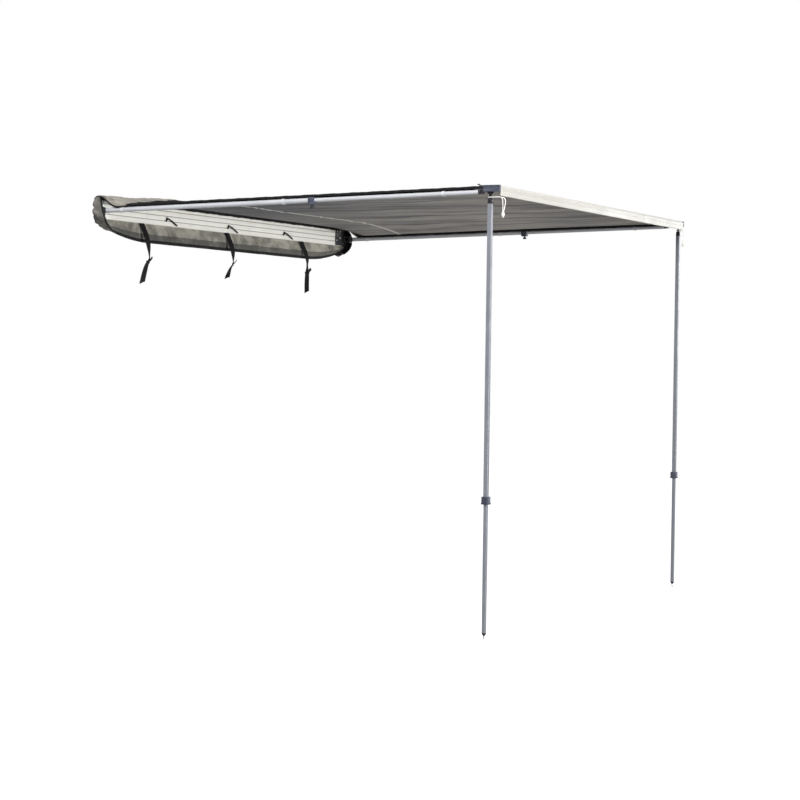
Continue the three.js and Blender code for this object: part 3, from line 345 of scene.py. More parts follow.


# Bands of painted shade: their height, half their height in metres, and how dark the painted shade in them is. The
# plate's lie in its grooves; the beam's lie under its ridge, on its lower face and on its upper face.
PLATE_GROOVE_SHADE = [(height, 0.0026, 0.75) for height in (-0.024, 0.0, 0.024)]
BEAM_RIDGE = beam_top - 0.0125
BEAM_SHADE_BANDS = [
    (BEAM_RIDGE - 0.0038, 0.0018, 0.3),
    (BEAM_RIDGE - 0.0235, 0.021, 0.17),
    (BEAM_RIDGE + 0.010, 0.0075, 0.14),
]
MATERIALS = {
    name: make(name, rgb(*colour), rgb(*shade), *more)
    for name, make, colour, shade, *more in (
        ("plate_paint", powder_coat, (238, 237, 229), (216, 214, 204), PLATE_GROOVE_SHADE),
        ("beam_paint", powder_coat, (204, 202, 195), (188, 186, 179), BEAM_SHADE_BANDS),
        ("black_plastic", moulded_plastic, (27, 27, 31), (48, 48, 53)),
        ("slate_plastic", moulded_plastic, (60, 63, 78), (80, 84, 98), 0.46),
        ("grey_plastic", moulded_plastic, (206, 209, 212), (182, 186, 190)),
        ("arm_aluminium", drawn_aluminium, (202, 204, 208), (168, 170, 176), "Y", 0.12),
        ("pole_aluminium", drawn_aluminium, (138, 141, 149), (108, 111, 119), "Z", 0.35),
        ("steel", zinc_steel, (176, 178, 184), (132, 134, 142)),
        ("cover_cloth", cover_cloth, (172, 166, 157), (122, 117, 109)),
        ("cover_lining", cover_cloth, (160, 157, 146), (108, 106, 97), 0.34, 0.64),
        # cover_end is the cover cloth in darker tones: painted shade on the end panels
        ("cover_end", cover_cloth, (128, 124, 117), (78, 76, 72)),
        ("cover_dark_band", cover_cloth, (104, 102, 95), (70, 69, 65)),
        ("canopy_cloth", canopy_cloth, (172, 166, 159), (108, 105, 106)),
        ("webbing", webbing, (13, 13, 15), (34, 34, 37)),
        ("binding", webbing, (14, 14, 16), (30, 30, 33), 420),
        ("seam_tape", webbing, (222, 219, 210), (236, 232, 224), 420),
        ("tie_cord", braided_rope, (30, 30, 33), (10, 10, 12)),
        ("rope", braided_rope, (252, 251, 247), (224, 222, 215)),
        ("thread", moulded_plastic, (64, 63, 62), (92, 90, 86), 0.7),
        ("pale_thread", moulded_plastic, (158, 154, 144), (182, 178, 166), 0.7),
        # Black cloth as painted shade inside the end panels and on the corner gussets
        ("black_shade_cloth", cover_cloth, (40, 40, 42), (20, 20, 22)),
        ("zip_teeth", moulded_plastic, (30, 30, 33), (54, 54, 58), 0.38),
    )
}


# Mesh helpers

TINY = 1e-9
SHARP_EDGE = math.radians(38)
SHARP_SHEET_EDGE = math.radians(60)
SHARP_ROUNDED_EDGE = math.radians(40)
MERGE_DISTANCE = 1e-6
FINE_MERGE_DISTANCE = 1e-7


def smooth(value):
    """Eases a value between 0 and 1."""
    t = np.clip(value, 0, 1)
    return t * t * (3 - 2 * t)


def mix(first, second, share):
    return first + (second - first) * share


def place_piece(mesh, material, body="root", *replaced):
    """Puts a mesh into the scene under its own name, riding on a body and standing for CAD nodes."""
    mesh.materials.clear()
    mesh.materials.append(MATERIALS[material])
    piece = bpy.data.objects.new(mesh.name, mesh)
    bpy.context.scene.collection.objects.link(piece)
    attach(piece, body)
    if replaced:
        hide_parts(*replaced)
    return piece


def mesh_from(name, points, faces, flat_map=None, sharp=SHARP_EDGE):
    """A smooth-shaded mesh, with an optional cloth map of one (u, v) for each point."""
    mesh = bpy.data.meshes.new(name)
    mesh.from_pydata(np.asarray(points).tolist(), [], faces)
    mesh.validate()
    if flat_map is not None:
        layer = mesh.uv_layers.new(name="cloth")
        corner = np.zeros(len(mesh.loops), np.int32)
        mesh.loops.foreach_get("vertex_index", corner)
        layer.data.foreach_set("uv", np.asarray(flat_map, np.float32)[corner].ravel())
    mesh.shade_smooth()
    mesh.set_sharp_from_angle(angle=sharp)
    return mesh


def merge_and_face_out(mesh, distance=MERGE_DISTANCE):
    """Merges points that meet, drops faces without area and turns the faces outwards."""
    work = bmesh.new()
    work.from_mesh(mesh)
    bmesh.ops.remove_doubles(work, verts=work.verts, dist=distance)
    bmesh.ops.dissolve_degenerate(work, dist=distance, edges=work.edges)
    bmesh.ops.recalc_face_normals(work, faces=work.faces)
    work.to_mesh(mesh)
    work.free()
    return mesh


def joined_mesh(name, meshes):
    """Several meshes as one, with their own points kept apart."""
    work = bmesh.new()
    for mesh in meshes:
        work.from_mesh(mesh)
    made = bpy.data.meshes.new(name)
    work.to_mesh(made)
    work.free()
    made.shade_smooth()
    made.set_sharp_from_angle(angle=SHARP_EDGE)
    for mesh in meshes:
        bpy.data.meshes.remove(mesh)
    return made


def numbered(grid):
    """The index of each point of a grid."""
    return np.arange(grid[..., 0].size).reshape(grid.shape[:2])


def grid_normals(grid):
    normal = np.cross(np.gradient(grid, axis=0), np.gradient(grid, axis=1))
    return normal / np.maximum(np.linalg.norm(normal, axis=2, keepdims=True), 1e-12)


def flat_lengths(grid):
    """Each grid point's place on the flat cloth: its lengths along the rows and the columns."""
    flat = np.zeros(grid.shape[:2] + (2,))
    flat[1:, :, 0] = np.linalg.norm(np.diff(grid, axis=0), axis=2).cumsum(axis=0)
    flat[:, 1:, 1] = np.linalg.norm(np.diff(grid, axis=1), axis=2).cumsum(axis=1)
    return flat


def sheet_mesh(name, grid, thickness, normal=None):
    """A closed thin cloth whose middle lies on an (n, m, 3) grid of points."""
    if normal is None:
        normal = grid_normals(grid)
    half = normal * thickness / 2
    points = np.concatenate([(grid + half).reshape(-1, 3), (grid - half).reshape(-1, 3)])
    flat = flat_lengths(grid).reshape(-1, 2)
    faces = []
    rims = []
    for first, order in ((0, [0, 1, 2, 3]), (grid[..., 0].size, [0, 3, 2, 1])):
        at = numbered(grid) + first
        quads = np.stack([at[:-1, :-1], at[1:, :-1], at[1:, 1:], at[:-1, 1:]], axis=-1).reshape(-1, 4)
        faces += quads[:, order].tolist()
        rims.append(np.r_[at[:, 0], at[-1, 1:], at[-2::-1, -1], at[0, -2:0:-1]])
    over, under = rims
    faces += np.stack([np.roll(over, -1), over, under, np.roll(under, -1)], axis=-1).tolist()
    return mesh_from(name, points, faces, np.concatenate([flat, flat]), SHARP_SHEET_EDGE)


def place_sheet(name, grid, thickness, material, *replaced):
    return place_piece(sheet_mesh(name, grid, thickness), material, "root", *replaced)


def run_along(line):
    """The length of a line up to each of its points."""
    return np.r_[0, np.linalg.norm(np.diff(line, axis=0), axis=1).cumsum()]


def length_of(line):
    return float(run_along(line)[-1])


def at_lengths(values, run, wanted):
    """What the rows of values are at the wanted lengths of a run."""
    return np.stack([np.interp(wanted, run, column) for column in values.T], axis=1)


def curve_through(points, count, fine=24):
    """Points at even steps of length along a centripetal Catmull-Rom curve."""
    given = np.asarray(points, float)
    given = np.vstack([2 * given[0] - given[1], given, 2 * given[-1] - given[-2]])
    line = []
    for i in range(1, len(given) - 2):
        p0, p1, p2, p3 = given[i - 1:i + 3]
        t1 = np.linalg.norm(p1 - p0) ** 0.5
        t2 = t1 + np.linalg.norm(p2 - p1) ** 0.5
        t3 = t2 + np.linalg.norm(p3 - p2) ** 0.5
        t = np.linspace(t1, t2, fine, endpoint=False)[:, None]
        a1 = (t1 - t) / t1 * p0 + t / t1 * p1
        a2 = (t2 - t) / (t2 - t1) * p1 + (t - t1) / (t2 - t1) * p2
        a3 = (t3 - t) / (t3 - t2) * p2 + (t - t2) / (t3 - t2) * p3
        b1 = (t2 - t) / t2 * a1 + t / t2 * a2
        b2 = (t3 - t) / (t3 - t1) * a2 + (t - t1) / (t3 - t1) * a3
        line.append((t2 - t) / (t2 - t1) * b1 + (t - t1) / (t2 - t1) * b2)
    line = np.vstack([*line, given[-2:-1]])
    run = run_along(line)
    return at_lengths(line, run, np.linspace(0, run[-1], count))


def cross_directions(line):
    """Two directions across a line at each of its points, without needless twist."""
    tangent = np.gradient(line, axis=0)
    tangent /= np.linalg.norm(tangent, axis=1, keepdims=True)
    side = np.cross(tangent[0], (0, 0, 1))
    if np.linalg.norm(side) < 0.1:
        side = np.cross(tangent[0], (0, 1, 0))
    sides = []
    for direction in tangent:
        side = side - direction * (side @ direction)
        side = side / np.linalg.norm(side)
        sides.append(side)
    return np.array(sides), np.cross(tangent, sides)


def ring_angles(sides):
    return np.linspace(0, 2 * math.pi, sides, endpoint=False)


def rings_mesh(name, rings, flat):
    """A tube through (n, m, 3) rings of points, closed at its ends."""
    at = numbered(rings)
    turn = np.roll(at, -1, axis=1)
    faces = np.stack([at[:-1], turn[:-1], turn[1:], at[1:]], axis=-1).reshape(-1, 4).tolist()
    faces += [at[0][::-1].tolist(), at[-1].tolist()]
    return mesh_from(name, rings.reshape(-1, 3), faces, flat)


def tube_mesh(name, line, radius, sides):
    """A round cord along a line, with a map of turns and length."""
    first, second = cross_directions(line)
    angles = ring_angles(sides)
    ring = np.cos(angles)[None, :, None] * first[:, None] + np.sin(angles)[None, :, None] * second[:, None]
    flat = np.stack([np.tile(angles * radius, len(line)), np.repeat(run_along(line), sides)], axis=1)
    return rings_mesh(name, line[:, None] + radius * ring, flat)


def turned_mesh(name, start, direction, profile, sides):
    """A body of revolution: profile pairs of distance along the axis and radius, closed on itself."""
    direction = Vector(direction).normalized()
    side = direction.orthogonal().normalized()
    other = direction.cross(side)
    points = []
    for distance, radius in profile:
        for i in range(sides):
            angle = 2 * math.pi * i / sides
            spoke = side * math.cos(angle) + other * math.sin(angle)
            points.append(tuple(Vector(start) + direction * distance + radius * spoke))
    at = np.arange(len(points)).reshape(-1, sides)
    turn = np.roll(at, -1, axis=1)
    quads = np.stack([at, turn, np.roll(turn, -1, axis=0), np.roll(at, -1, axis=0)], axis=-1)
    return merge_and_face_out(mesh_from(name, points, quads.reshape(-1, 4).tolist()))


def wrapped_profile(length, radius, wraps, belly, ridge, end):
    """A knot for turned_mesh: fuller in the middle, with a ridge for each turn of its cord."""
    profile = [(0, 0)]
    for share in np.linspace(0, 1, 8 * wraps + 1).tolist():
        fullness = 1 - belly + belly * math.sin(math.pi * (end + (1 - 2 * end) * share))
        turn = 1 - ridge + ridge * abs(math.sin(math.pi * wraps * share))
        profile.append((length * share, radius * fullness * turn))
    return [*profile, (length, 0)]


def blocks_mesh(name, places, half_sizes, taper=0.8):
    """Many small tapered blocks in one mesh. Each place is a centre and its three directions."""
    corner = np.array([(x, y, z) for z in (-1, 1) for y in (-1, 1) for x in (-1, 1)], float)
    corner[corner[:, 2] > 0, :2] *= taper
    corner *= np.asarray(half_sizes)
    centres = np.array([place[0] for place in places])
    axes = np.array([place[1:] for place in places])
    points = centres[:, None] + np.einsum("ck,nkd->ncd", corner, axes)
    block = [(0, 2, 3, 1), (4, 5, 7, 6), (0, 1, 5, 4), (2, 6, 7, 3), (0, 4, 6, 2), (1, 3, 7, 5)]
    faces = [tuple(8 * n + k for k in face) for n in range(len(places)) for face in block]
    return mesh_from(name, points.reshape(-1, 3), faces)


def run_places(line, normals, pitch):
    """Centres at even steps along a line, each with its directions along, across and out."""
    run = run_along(line)
    wanted = np.arange(pitch / 2, run[-1], pitch)
    spots = at_lengths(line, run, wanted)
    ahead = at_lengths(line, run, wanted + pitch / 4) - at_lengths(line, run, wanted - pitch / 4)
    places = []
    for spot, direction, up in zip(spots, ahead, at_lengths(normals, run, wanted)):
        direction = direction / max(np.linalg.norm(direction), TINY)
        up = up - direction * (up @ direction)
        up = up / np.linalg.norm(up)
        places.append((spot, direction, np.cross(up, direction), up))
    return places


def wrinkled(grid, hold, *layers):
    """Pushes cloth along its normal by layers of noise, (height, scale), less where hold is near 0."""
    for height, scale in layers:
        rough = [noise.fractal(Vector(point * scale), 0.8, 2.0, 3) for point in grid.reshape(-1, 3)]
        rough = np.array(rough).reshape(grid.shape[:-1])
        grid = grid + grid_normals(grid) * (rough * height * hold)[..., None]
    return grid


# Guy ropes: each goes round its knuckle's neck and hangs down outside the beam to a knot.
# Millimetres across from the pole, out from the beam and above the pivot. The second strand bows out.

ROPE_RADIUS = 0.002
ROPE_STRAND = [
    [-11.6, 9, -52], [-11.8, 9, -44], [-13, 9, -24], [-15, 9, -6], [-16, 7.4, 5], [-15.4, 2, 11.6],
]
ROPE_TURN = [[-11.6, -14], [-8.9, 0], [-6.3, 6.3], [0, 8.8], [6.3, 6.3], [8.9, 0], [7.8, -14]]
ROPE_RETURN = [
    [1.4, 4, 12], [3, 11, 6], [2.4, 14.5, -5], [-1, 13.4, -24], [-5, 10.4, -44], [-6.2, 9, -52],
]
ROPE_TURN_HEIGHT = 0.0134
BEAM_FACE = -2.038
KNOT_WIDENING = 1.3
KNOT_BARREL_SHARE = 0.74


def place_cord(name, points, count, radius, sides, material, node):
    line = curve_through(points, count)
    return place_piece(tube_mesh(name, line, radius, sides), material, body_of[node], node), line


def declare_cord(line, end_piece):
    round(length_of(line), 3)


def rope_route(side):
    pivot = pole_pivot[side]

    def strand(route):
        return [
            (pivot.x + across * MILLIMETRE, BEAM_FACE - out * MILLIMETRE, pivot.z + up * MILLIMETRE)
            for across, out, up in route
        ]

    turn = [
        (pivot.x + across * MILLIMETRE, pivot.y + behind * MILLIMETRE, pivot.z + ROPE_TURN_HEIGHT)
        for across, behind in ROPE_TURN
    ]
    return [*strand(ROPE_STRAND), *turn, *strand(ROPE_RETURN)]


def make_guy_knot(side):
    """The knot that ends both strands: a wrapped barrel with two short tails."""
    node = f"guy_bead_{side}"
    low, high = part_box(node)
    centre = (low + high) / 2
    radius = (high.x - low.x) / 2
    height = high.z - low.z
    profile = wrapped_profile(
        height * KNOT_BARREL_SHARE, KNOT_WIDENING * radius, wraps=5, belly=0.38, ridge=0.14, end=0.12,
    )
    meshes = [turned_mesh("barrel", (centre.x, centre.y, high.z), (0, 0, -1), profile, 28)]
    for across in (-0.42, 0.36):
        line = curve_through([
            (centre.x + across * radius * 0.6, centre.y, high.z - height * 0.6),
            (centre.x + across * radius * 1.2, centre.y - 0.0005, high.z - height * 0.82),
            (centre.x + across * radius * 2.0, centre.y, low.z + 0.0004),
        ], 10)
        meshes.append(tube_mesh("tail", line, ROPE_RADIUS * 0.85, 12))
    return place_piece(joined_mesh(f"guy_knot_{side}", meshes), "rope", body_of[node], node)


def make_guy_rope(side):
    rope, line = place_cord(
        f"guy_line_{side}", rope_route(side), 150, ROPE_RADIUS, 14, "rope", f"guy_rope_{side}",
    )
    declare_cord(line, make_guy_knot(side))


# Cord ties on the plate's face: one cord through a button, with a short end and a long tail.
# Millimetres along the plate, out from it and down.

TIE_RADIUS = 0.0036
TIE_ROUTE = [
    [-16, 5.4, 14], [-8, 6.4, 6], [0, 5.4, 0], [16, 7.6, 4], [38, 8, 11], [62, 6.6, 20], [88, 5, 29],
]
TIE_PLACE = {"left": -0.645, "middle": -0.050, "right": 0.545}
TIE_HEIGHT = -0.012
PLATE_FACE = -0.018
BUTTON_PROFILE = [
    (0, 0), (0, 0.0062), (0.0008, 0.007), (0.0024, 0.007), (0.0036, 0.0058), (0.004, 0.0040), (0.004, 0),
]


def make_tie(name):
    button_x = TIE_PLACE[name]
    start = (button_x, PLATE_FACE - REST_GAP, TIE_HEIGHT)
    button = place_piece(
        turned_mesh(f"tie_button_{name}", start, (0, -1, 0), BUTTON_PROFILE, 28), "black_plastic",
    )
    route = [
        (button_x + along * MILLIMETRE, PLATE_FACE - out * MILLIMETRE, TIE_HEIGHT - drop * MILLIMETRE)
        for along, out, drop in TIE_ROUTE
    ]
    tie, line = place_cord(f"tie_cord_{name}", route, 60, TIE_RADIUS, 12, "tie_cord", f"tie_{name}")
    declare_cord(line, button)


for side in SIDES:
    make_guy_rope(side)
for name in TIE_PLACE:
    make_tie(name)


# Hard pieces: the imported shapes with fine edges

# For each start of a node's name, its finish and the width of its rounded edges, which 0 leaves as imported
HARD_PIECES = {
    "backing_plate": ("plate_paint", 0.0004), "front_beam": ("beam_paint", 0.0005),
    "end_bracket": ("black_plastic", 0.0012), "arm_hinge_knuckle": ("black_plastic", 0.0008),
    "arm_hinge_pin": ("steel", 0.0004), "arm_clamp_knob": ("black_plastic", 0.0009),
    "arm_clamp": ("slate_plastic", 0.0014), "arm_hook": ("black_plastic", 0.001),
    "arm_clip": ("grey_plastic", 0), "beam_cap": ("slate_plastic", 0.0012),
    "pole_knuckle": ("black_plastic", 0.0006), "pole_pivot_pin": ("steel", 0.0003),
    "pole_fork": ("black_plastic", 0.0007), "pole_clamp_lever": ("slate_plastic", 0.001),
    "pole_clamp": ("slate_plastic", 0.0014), "pole_foot": ("black_plastic", 0.0006),
    "pole_upper_tube": ("pole_aluminium", 0), "pole_lower_tube": ("pole_aluminium", 0),
    "pole_spike": ("steel", 0),
}
ROUNDED_ABOVE = math.radians(28)
FLAT_BELOW = math.radians(1)
ROUNDED_STEPS = 2
TUBE_BEVEL = 0.0004


def round_tube(node, side):
    """An arm's tube with a truly round section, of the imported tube's ends and radii."""
    origin = arm_hinge[side]
    world = nodes[node].matrix_world
    points = [world @ vertex.co - origin for vertex in nodes[node].data.vertices]
    along = [point.dot(arm_out) for point in points]
    radius = [(point - arm_out * run).length for point, run in zip(points, along)]
    start, end, outer, bore = min(along), max(along), max(radius), min(radius)
    profile = [
        (start + TUBE_BEVEL, outer), (start, outer - TUBE_BEVEL), (start, bore),
        (end, bore), (end, outer - TUBE_BEVEL), (end - TUBE_BEVEL, outer),
    ]
    mesh = turned_mesh(f"finished_{node}", origin, arm_out, profile, 56)
    place_piece(mesh, "arm_aluminium", body_of[node], node)


def rounded(node, material, width):
    """A copy of a hard CAD node with small rounded edges, which stands for it."""
    mesh = nodes[node].data.copy()
    mesh.name = f"finished_{node}"
    work = bmesh.new()
    work.from_mesh(mesh)
    bmesh.ops.remove_doubles(work, verts=work.verts, dist=MERGE_DISTANCE)
    bmesh.ops.dissolve_limit(
        work, angle_limit=FLAT_BELOW, verts=work.verts, edges=work.edges, delimit={"NORMAL"},
    )
    sharp = [
        edge for edge in work.edges
        if len(edge.link_faces) == 2 and edge.calc_face_angle(0) > ROUNDED_ABOVE
    ]
    bmesh.ops.bevel(
        work, geom=sharp, offset=width, segments=ROUNDED_STEPS, profile=0.5,
        affect="EDGES", clamp_overlap=True, miter_outer="SHARP",
    )
    bmesh.ops.dissolve_degenerate(work, dist=FINE_MERGE_DISTANCE, edges=work.edges)
    work.to_mesh(mesh)
    work.free()
    mesh.shade_smooth()
    mesh.set_sharp_from_angle(angle=SHARP_ROUNDED_EDGE)
    place_piece(mesh, material, body_of[node], node)


def finish_hard_pieces():
    for side in SIDES:
        round_tube(f"arm_outer_tube_{side}", side)
        round_tube(f"arm_inner_tube_{side}", side)
    for node in sorted(nodes):
        start = max((key for key in HARD_PIECES if node.startswith(key)), key=len, default=None)
        if start is None:
            continue
        material, width = HARD_PIECES[start]
        if width:
            rounded(node, material, width)
        else:
            nodes[node].data.materials.clear()
            nodes[node].data.materials.append(MATERIALS[material])


finish_hard_pieces()


# Canopy

CANOPY_HALF = 1.243
CANOPY_REAR = -0.006
CANOPY_FRONT = -1.9614
CANOPY_THICKNESS = 0.0012
CANOPY_RISE = 0.0006
CANOPY_FRONT_HEIGHT = 0.055
CANOPY_REAR_HEIGHT = plate_top + REST_GAP
CANOPY_RUN = 1.962
FREE_FROM = 0.023
ARM_HINGE_OUT = 0.038
ARM_HINGE_HEIGHT = -0.012
ARM_TOP_CLEARANCE = 0.0146
ARM_SLOPE = 0.0250915
DROOP_WIDTH_REAR = 0.535
DROOP_WIDTH_FRONT = 0.2
RIPPLE = 0.0016
FOLD_COUNT = 70


def canopy_form(x, y):
    """Underside height of the canopy: taut between plate and beam, with its sides down on the arms."""
    flat = mix(CANOPY_REAR_HEIGHT, CANOPY_FRONT_HEIGHT, smooth((-y + PLATE_FACE) / CANOPY_RUN))
    on_arm = ARM_HINGE_HEIGHT + (-y - ARM_HINGE_OUT) * ARM_SLOPE + ARM_TOP_CLEARANCE
    width = mix(DROOP_WIDTH_REAR, DROOP_WIDTH_FRONT, smooth(-y / 1.6))
    edge = np.clip((CANOPY_HALF - np.abs(x)) / width, 0, 1)
    return mix(flat, on_arm, (1 - edge) ** 1.4 * smooth((-y - FREE_FROM) / 0.15))


def canopy_ripples(x, y):
    """Waves across the canopy, calm at its edges."""
    out = np.clip((-y - FREE_FROM) / (-CANOPY_FRONT - FREE_FROM), 0, 1)
    calm = np.sin(math.pi * np.minimum(out * 4, 1) / 2) * smooth((y - CANOPY_FRONT) / 0.11)
    calm *= np.minimum((CANOPY_HALF - np.abs(x)) / 0.11, 1)
    return RIPPLE * calm * (1 + np.sin(9 * math.pi * out + x / CANOPY_HALF * 2))


def canopy_folds(x, y):
    """Long shallow tension folds that run from the case to the beam."""
    random = np.random.default_rng(11)
    height = np.zeros_like(x)
    for _ in range(FOLD_COUNT):
        centre = random.uniform(-1.16, 1.16)
        lean = random.normal(0, 0.05)
        width = random.uniform(0.010, 0.034)
        middle = random.uniform(-1.75, -0.25)
        half_length = random.uniform(0.18, 0.75)
        size = random.uniform(0.0012, 0.0044) * random.choice([-1, 1])
        along = (y - middle) / half_length
        line = centre + lean * (y - middle) + 0.012 * np.sin(3.1 * y + centre * 7)
        height += size * np.exp(-((x - line) / width) ** 2) * smooth(1 - np.abs(along))
    calm = smooth((CANOPY_HALF - 0.03 - np.abs(x)) / 0.05) * smooth((-y - 0.03) / 0.06)
    return height * calm * smooth((y - CANOPY_FRONT) / 0.05)


def canopy_surface(x, y):
    """Points on the middle of the canopy's cloth."""
    height = canopy_form(x, y) + canopy_ripples(x, y) + CANOPY_THICKNESS / 2 + CANOPY_RISE
    return np.stack([x, y, height + canopy_folds(x, y)], axis=-1)


def canopy_grid(x_steps, y_steps):
    return canopy_surface(*np.meshgrid(x_steps, y_steps, indexing="ij"))


def squash_with_beam(piece):
    """Gives a piece of the canopy its own copy of its mesh."""
    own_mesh(piece)
    return piece


def make_canopy():
    x_steps = np.linspace(-CANOPY_HALF, CANOPY_HALF, 311)
    y_steps = np.linspace(CANOPY_FRONT, CANOPY_REAR, 121)
    grid = canopy_grid(x_steps, y_steps)
    cloth = place_sheet("canopy_cloth", grid, CANOPY_THICKNESS, "canopy_cloth", "canopy")
    squash_with_beam(cloth)


TAPE_LIFT = 0.0001
STITCH_LIFT = 0.0012
STITCH_PITCH = 0.006
STITCH_SIZE = (0.0021, 0.0005, 0.0004)


def tape_under_canopy(name, material, x_steps, y_steps, thickness=0.0008):
    """A strip of tape sewn on the canopy's under side."""
    grid = canopy_grid(x_steps, y_steps)
    normal = grid_normals(grid)
    middle = grid - normal * (CANOPY_THICKNESS / 2 + TAPE_LIFT + thickness / 2)
    squash_with_beam(place_piece(sheet_mesh(name, middle, thickness, normal), material))


def canopy_stitches(name, x_line, y_line, face, material="thread"):
    """A row of stitches on the canopy's tape, on its upper face (1) or its under face (-1)."""
    line = canopy_surface(x_line, y_line)
    wider = np.stack([line, canopy_surface(x_line + 0.001, y_line)], axis=0)
    normal = grid_normals(wider)[0]
    if normal[:, 2].mean() < 0:
        normal = -normal
    lifted = line + face * normal * (CANOPY_THICKNESS / 2 + STITCH_LIFT)
    mesh = blocks_mesh(name, run_places(lifted, face * normal, STITCH_PITCH), STITCH_SIZE)
    squash_with_beam(place_piece(mesh, material))


HEM_ROLL_HEIGHT = 0.0100
HEM_ROLL_WIDTH = 0.0046
HEM_ROLL_SINK = 0.0008
HEM_ROLL_REAR = -0.075


def make_hem_roll(side, y_steps):
    """The rolled black hem that stands along the canopy's side edge, over the arm."""
    sign = SIDES[side]
    foot = canopy_surface(np.full_like(y_steps, sign * (CANOPY_HALF - 0.001)), y_steps)
    angles = ring_angles(18)
    lumps = 1 + 0.05 * np.sin(y_steps * 55) + 0.04 * np.sin(y_steps * 131 + 1)
    rise = HEM_ROLL_HEIGHT / 2 * lumps
    rings = np.empty((len(y_steps), len(angles), 3))
    rings[:, :, 0] = foot[:, None, 0] + sign * (HEM_ROLL_WIDTH / 2) * np.cos(angles)[None]
    rings[:, :, 1] = foot[:, None, 1]
    rings[:, :, 2] = foot[:, None, 2] - HEM_ROLL_SINK + rise[:, None] * (1 + np.sin(angles)[None])
    run = np.repeat(y_steps[:, None], len(angles), axis=1)
    flat = np.stack([np.broadcast_to(angles * 0.003, run.shape), run], axis=-1).reshape(-1, 2)
    mesh = merge_and_face_out(rings_mesh(f"canopy_hem_{side}", rings, flat), FINE_MERGE_DISTANCE)
    squash_with_beam(place_piece(mesh, "binding"))


BINDING_WIDTH = 0.024
BINDING_THICKNESS = 0.0007
BINDING_REAR = -0.026
BINDING_FOLD = 0.0008
BINDING_SEAM = 0.004


def make_side_binding(side):
    """Black binding folded round the canopy's side edge, with one row of stitches on each face."""
    sign = SIDES[side]
    y_steps = np.linspace(CANOPY_FRONT + 0.001, BINDING_REAR, 150)
    insets = np.linspace(BINDING_WIDTH, BINDING_FOLD, 7)

    def row(inset, face):
        x = np.full_like(y_steps, sign * (CANOPY_HALF - inset))
        line = canopy_surface(x, y_steps)
        step = canopy_surface(x - sign * 0.002, y_steps)
        slope = (line - step) / np.linalg.norm(line - step, axis=1, keepdims=True)
        normal = np.stack([-slope[:, 2] * sign, np.zeros(len(y_steps)), slope[:, 0] * sign], axis=1)
        return line + face * normal * (CANOPY_THICKNESS / 2 + BINDING_THICKNESS / 2 + TAPE_LIFT)

    fold = canopy_surface(np.full_like(y_steps, sign * CANOPY_HALF), y_steps) + (sign * BINDING_FOLD, 0, 0)
    rows = [row(inset, -1) for inset in insets] + [fold] + [row(inset, 1) for inset in insets[::-1]]
    mesh = sheet_mesh(f"canopy_binding_{side}", np.array(rows), BINDING_THICKNESS)
    squash_with_beam(place_piece(merge_and_face_out(mesh, FINE_MERGE_DISTANCE), "binding"))
    make_hem_roll(side, y_steps[y_steps < HEM_ROLL_REAR])
    line_x = np.full(300, sign * (CANOPY_HALF - BINDING_WIDTH + BINDING_SEAM))
    line_y = np.linspace(CANOPY_FRONT + 0.02, -0.03, 300)
    for name, face in (("top", 1), ("under", -1)):
        canopy_stitches(f"binding_stitches_{side}_{name}", line_x, line_y, face)


FOLD_THICKNESS = 0.0009
SKIRT_INSET = 0.0248
SKIRT_DEPTH = 0.0112
REAR_HEM_HALF = 1.214
REAR_HEM_DEPTH = 0.0105
REAR_HEM_PLACE = -0.0194


def make_hem_skirt(side):
    """The inner fold of the side hem, which hangs beside the arm."""
    place = SIDES[side] * (CANOPY_HALF - SKIRT_INSET)
    y, share = np.meshgrid(np.linspace(CANOPY_FRONT + 0.05, -0.11, 260), np.linspace(0, 1, 5), indexing="ij")
    grid = canopy_surface(np.full_like(y, place), y)
    depth = SKIRT_DEPTH + 0.0006 * np.sin(y * 37) + 0.0004 * np.sin(y * 91 + 1)
    grid[..., 2] -= 0.0010 + depth * share
    squash_with_beam(place_sheet(f"canopy_skirt_{side}", grid, FOLD_THICKNESS, "binding"))


def make_rear_hem():
    """The black strip of the canopy's rear edge, which hangs before the plate's top."""
    x_steps = np.linspace(-REAR_HEM_HALF, REAR_HEM_HALF, 300)
    x, share = np.meshgrid(x_steps, np.linspace(0, 1, 7), indexing="ij")
    depth = REAR_HEM_DEPTH + 0.0006 * np.sin(x * 41) + 0.0005 * np.sin(x * 97 + 2)
    y = REAR_HEM_PLACE - 0.0012 * np.sin(share * 2.2) + 0.0003 * np.sin(x * 63)
    grid = np.stack([x, y, plate_top + 0.0004 - depth * share], axis=-1)
    place_sheet("canopy_rear_hem", grid, FOLD_THICKNESS, "binding")


LASHING_LENGTH = 0.016
LASHING_RADIUS = 0.0066
LASHING_HEIGHT = 0.0072
LASHING_END_RADIUS = 0.0016


def make_corner_lashing(side):
    """The black knot that ties the canopy's front corner to the beam's cap, with its two ends."""
    x = np.array([SIDES[side] * (CANOPY_HALF - 0.002)])
    centre = canopy_surface(x, np.array([CANOPY_FRONT + 0.012]))[0] + (0, 0, LASHING_HEIGHT)
    profile = wrapped_profile(LASHING_LENGTH, LASHING_RADIUS, wraps=3, belly=0.45, ridge=0.12, end=0.1)
    meshes = [turned_mesh("knot", centre + (0, LASHING_LENGTH / 2, 0), (0, -1, 0), profile, 24)]
    for lean, rise in ((0.004, 0.011), (-0.003, 0.008)):
        route = [centre, centre + (lean / 2, 0.007, rise * 0.7), centre + (lean, 0.016, rise)]
        meshes.append(tube_mesh("end", curve_through(route, 12), LASHING_END_RADIUS, 8))
    squash_with_beam(place_piece(joined_mesh(f"corner_lashing_{side}", meshes), "black_plastic"))


SEAM_PLACE = -0.386
SEAM_HALF = 0.009
SEAM_STITCHES = 0.0035
TAPE_INSET = 0.026


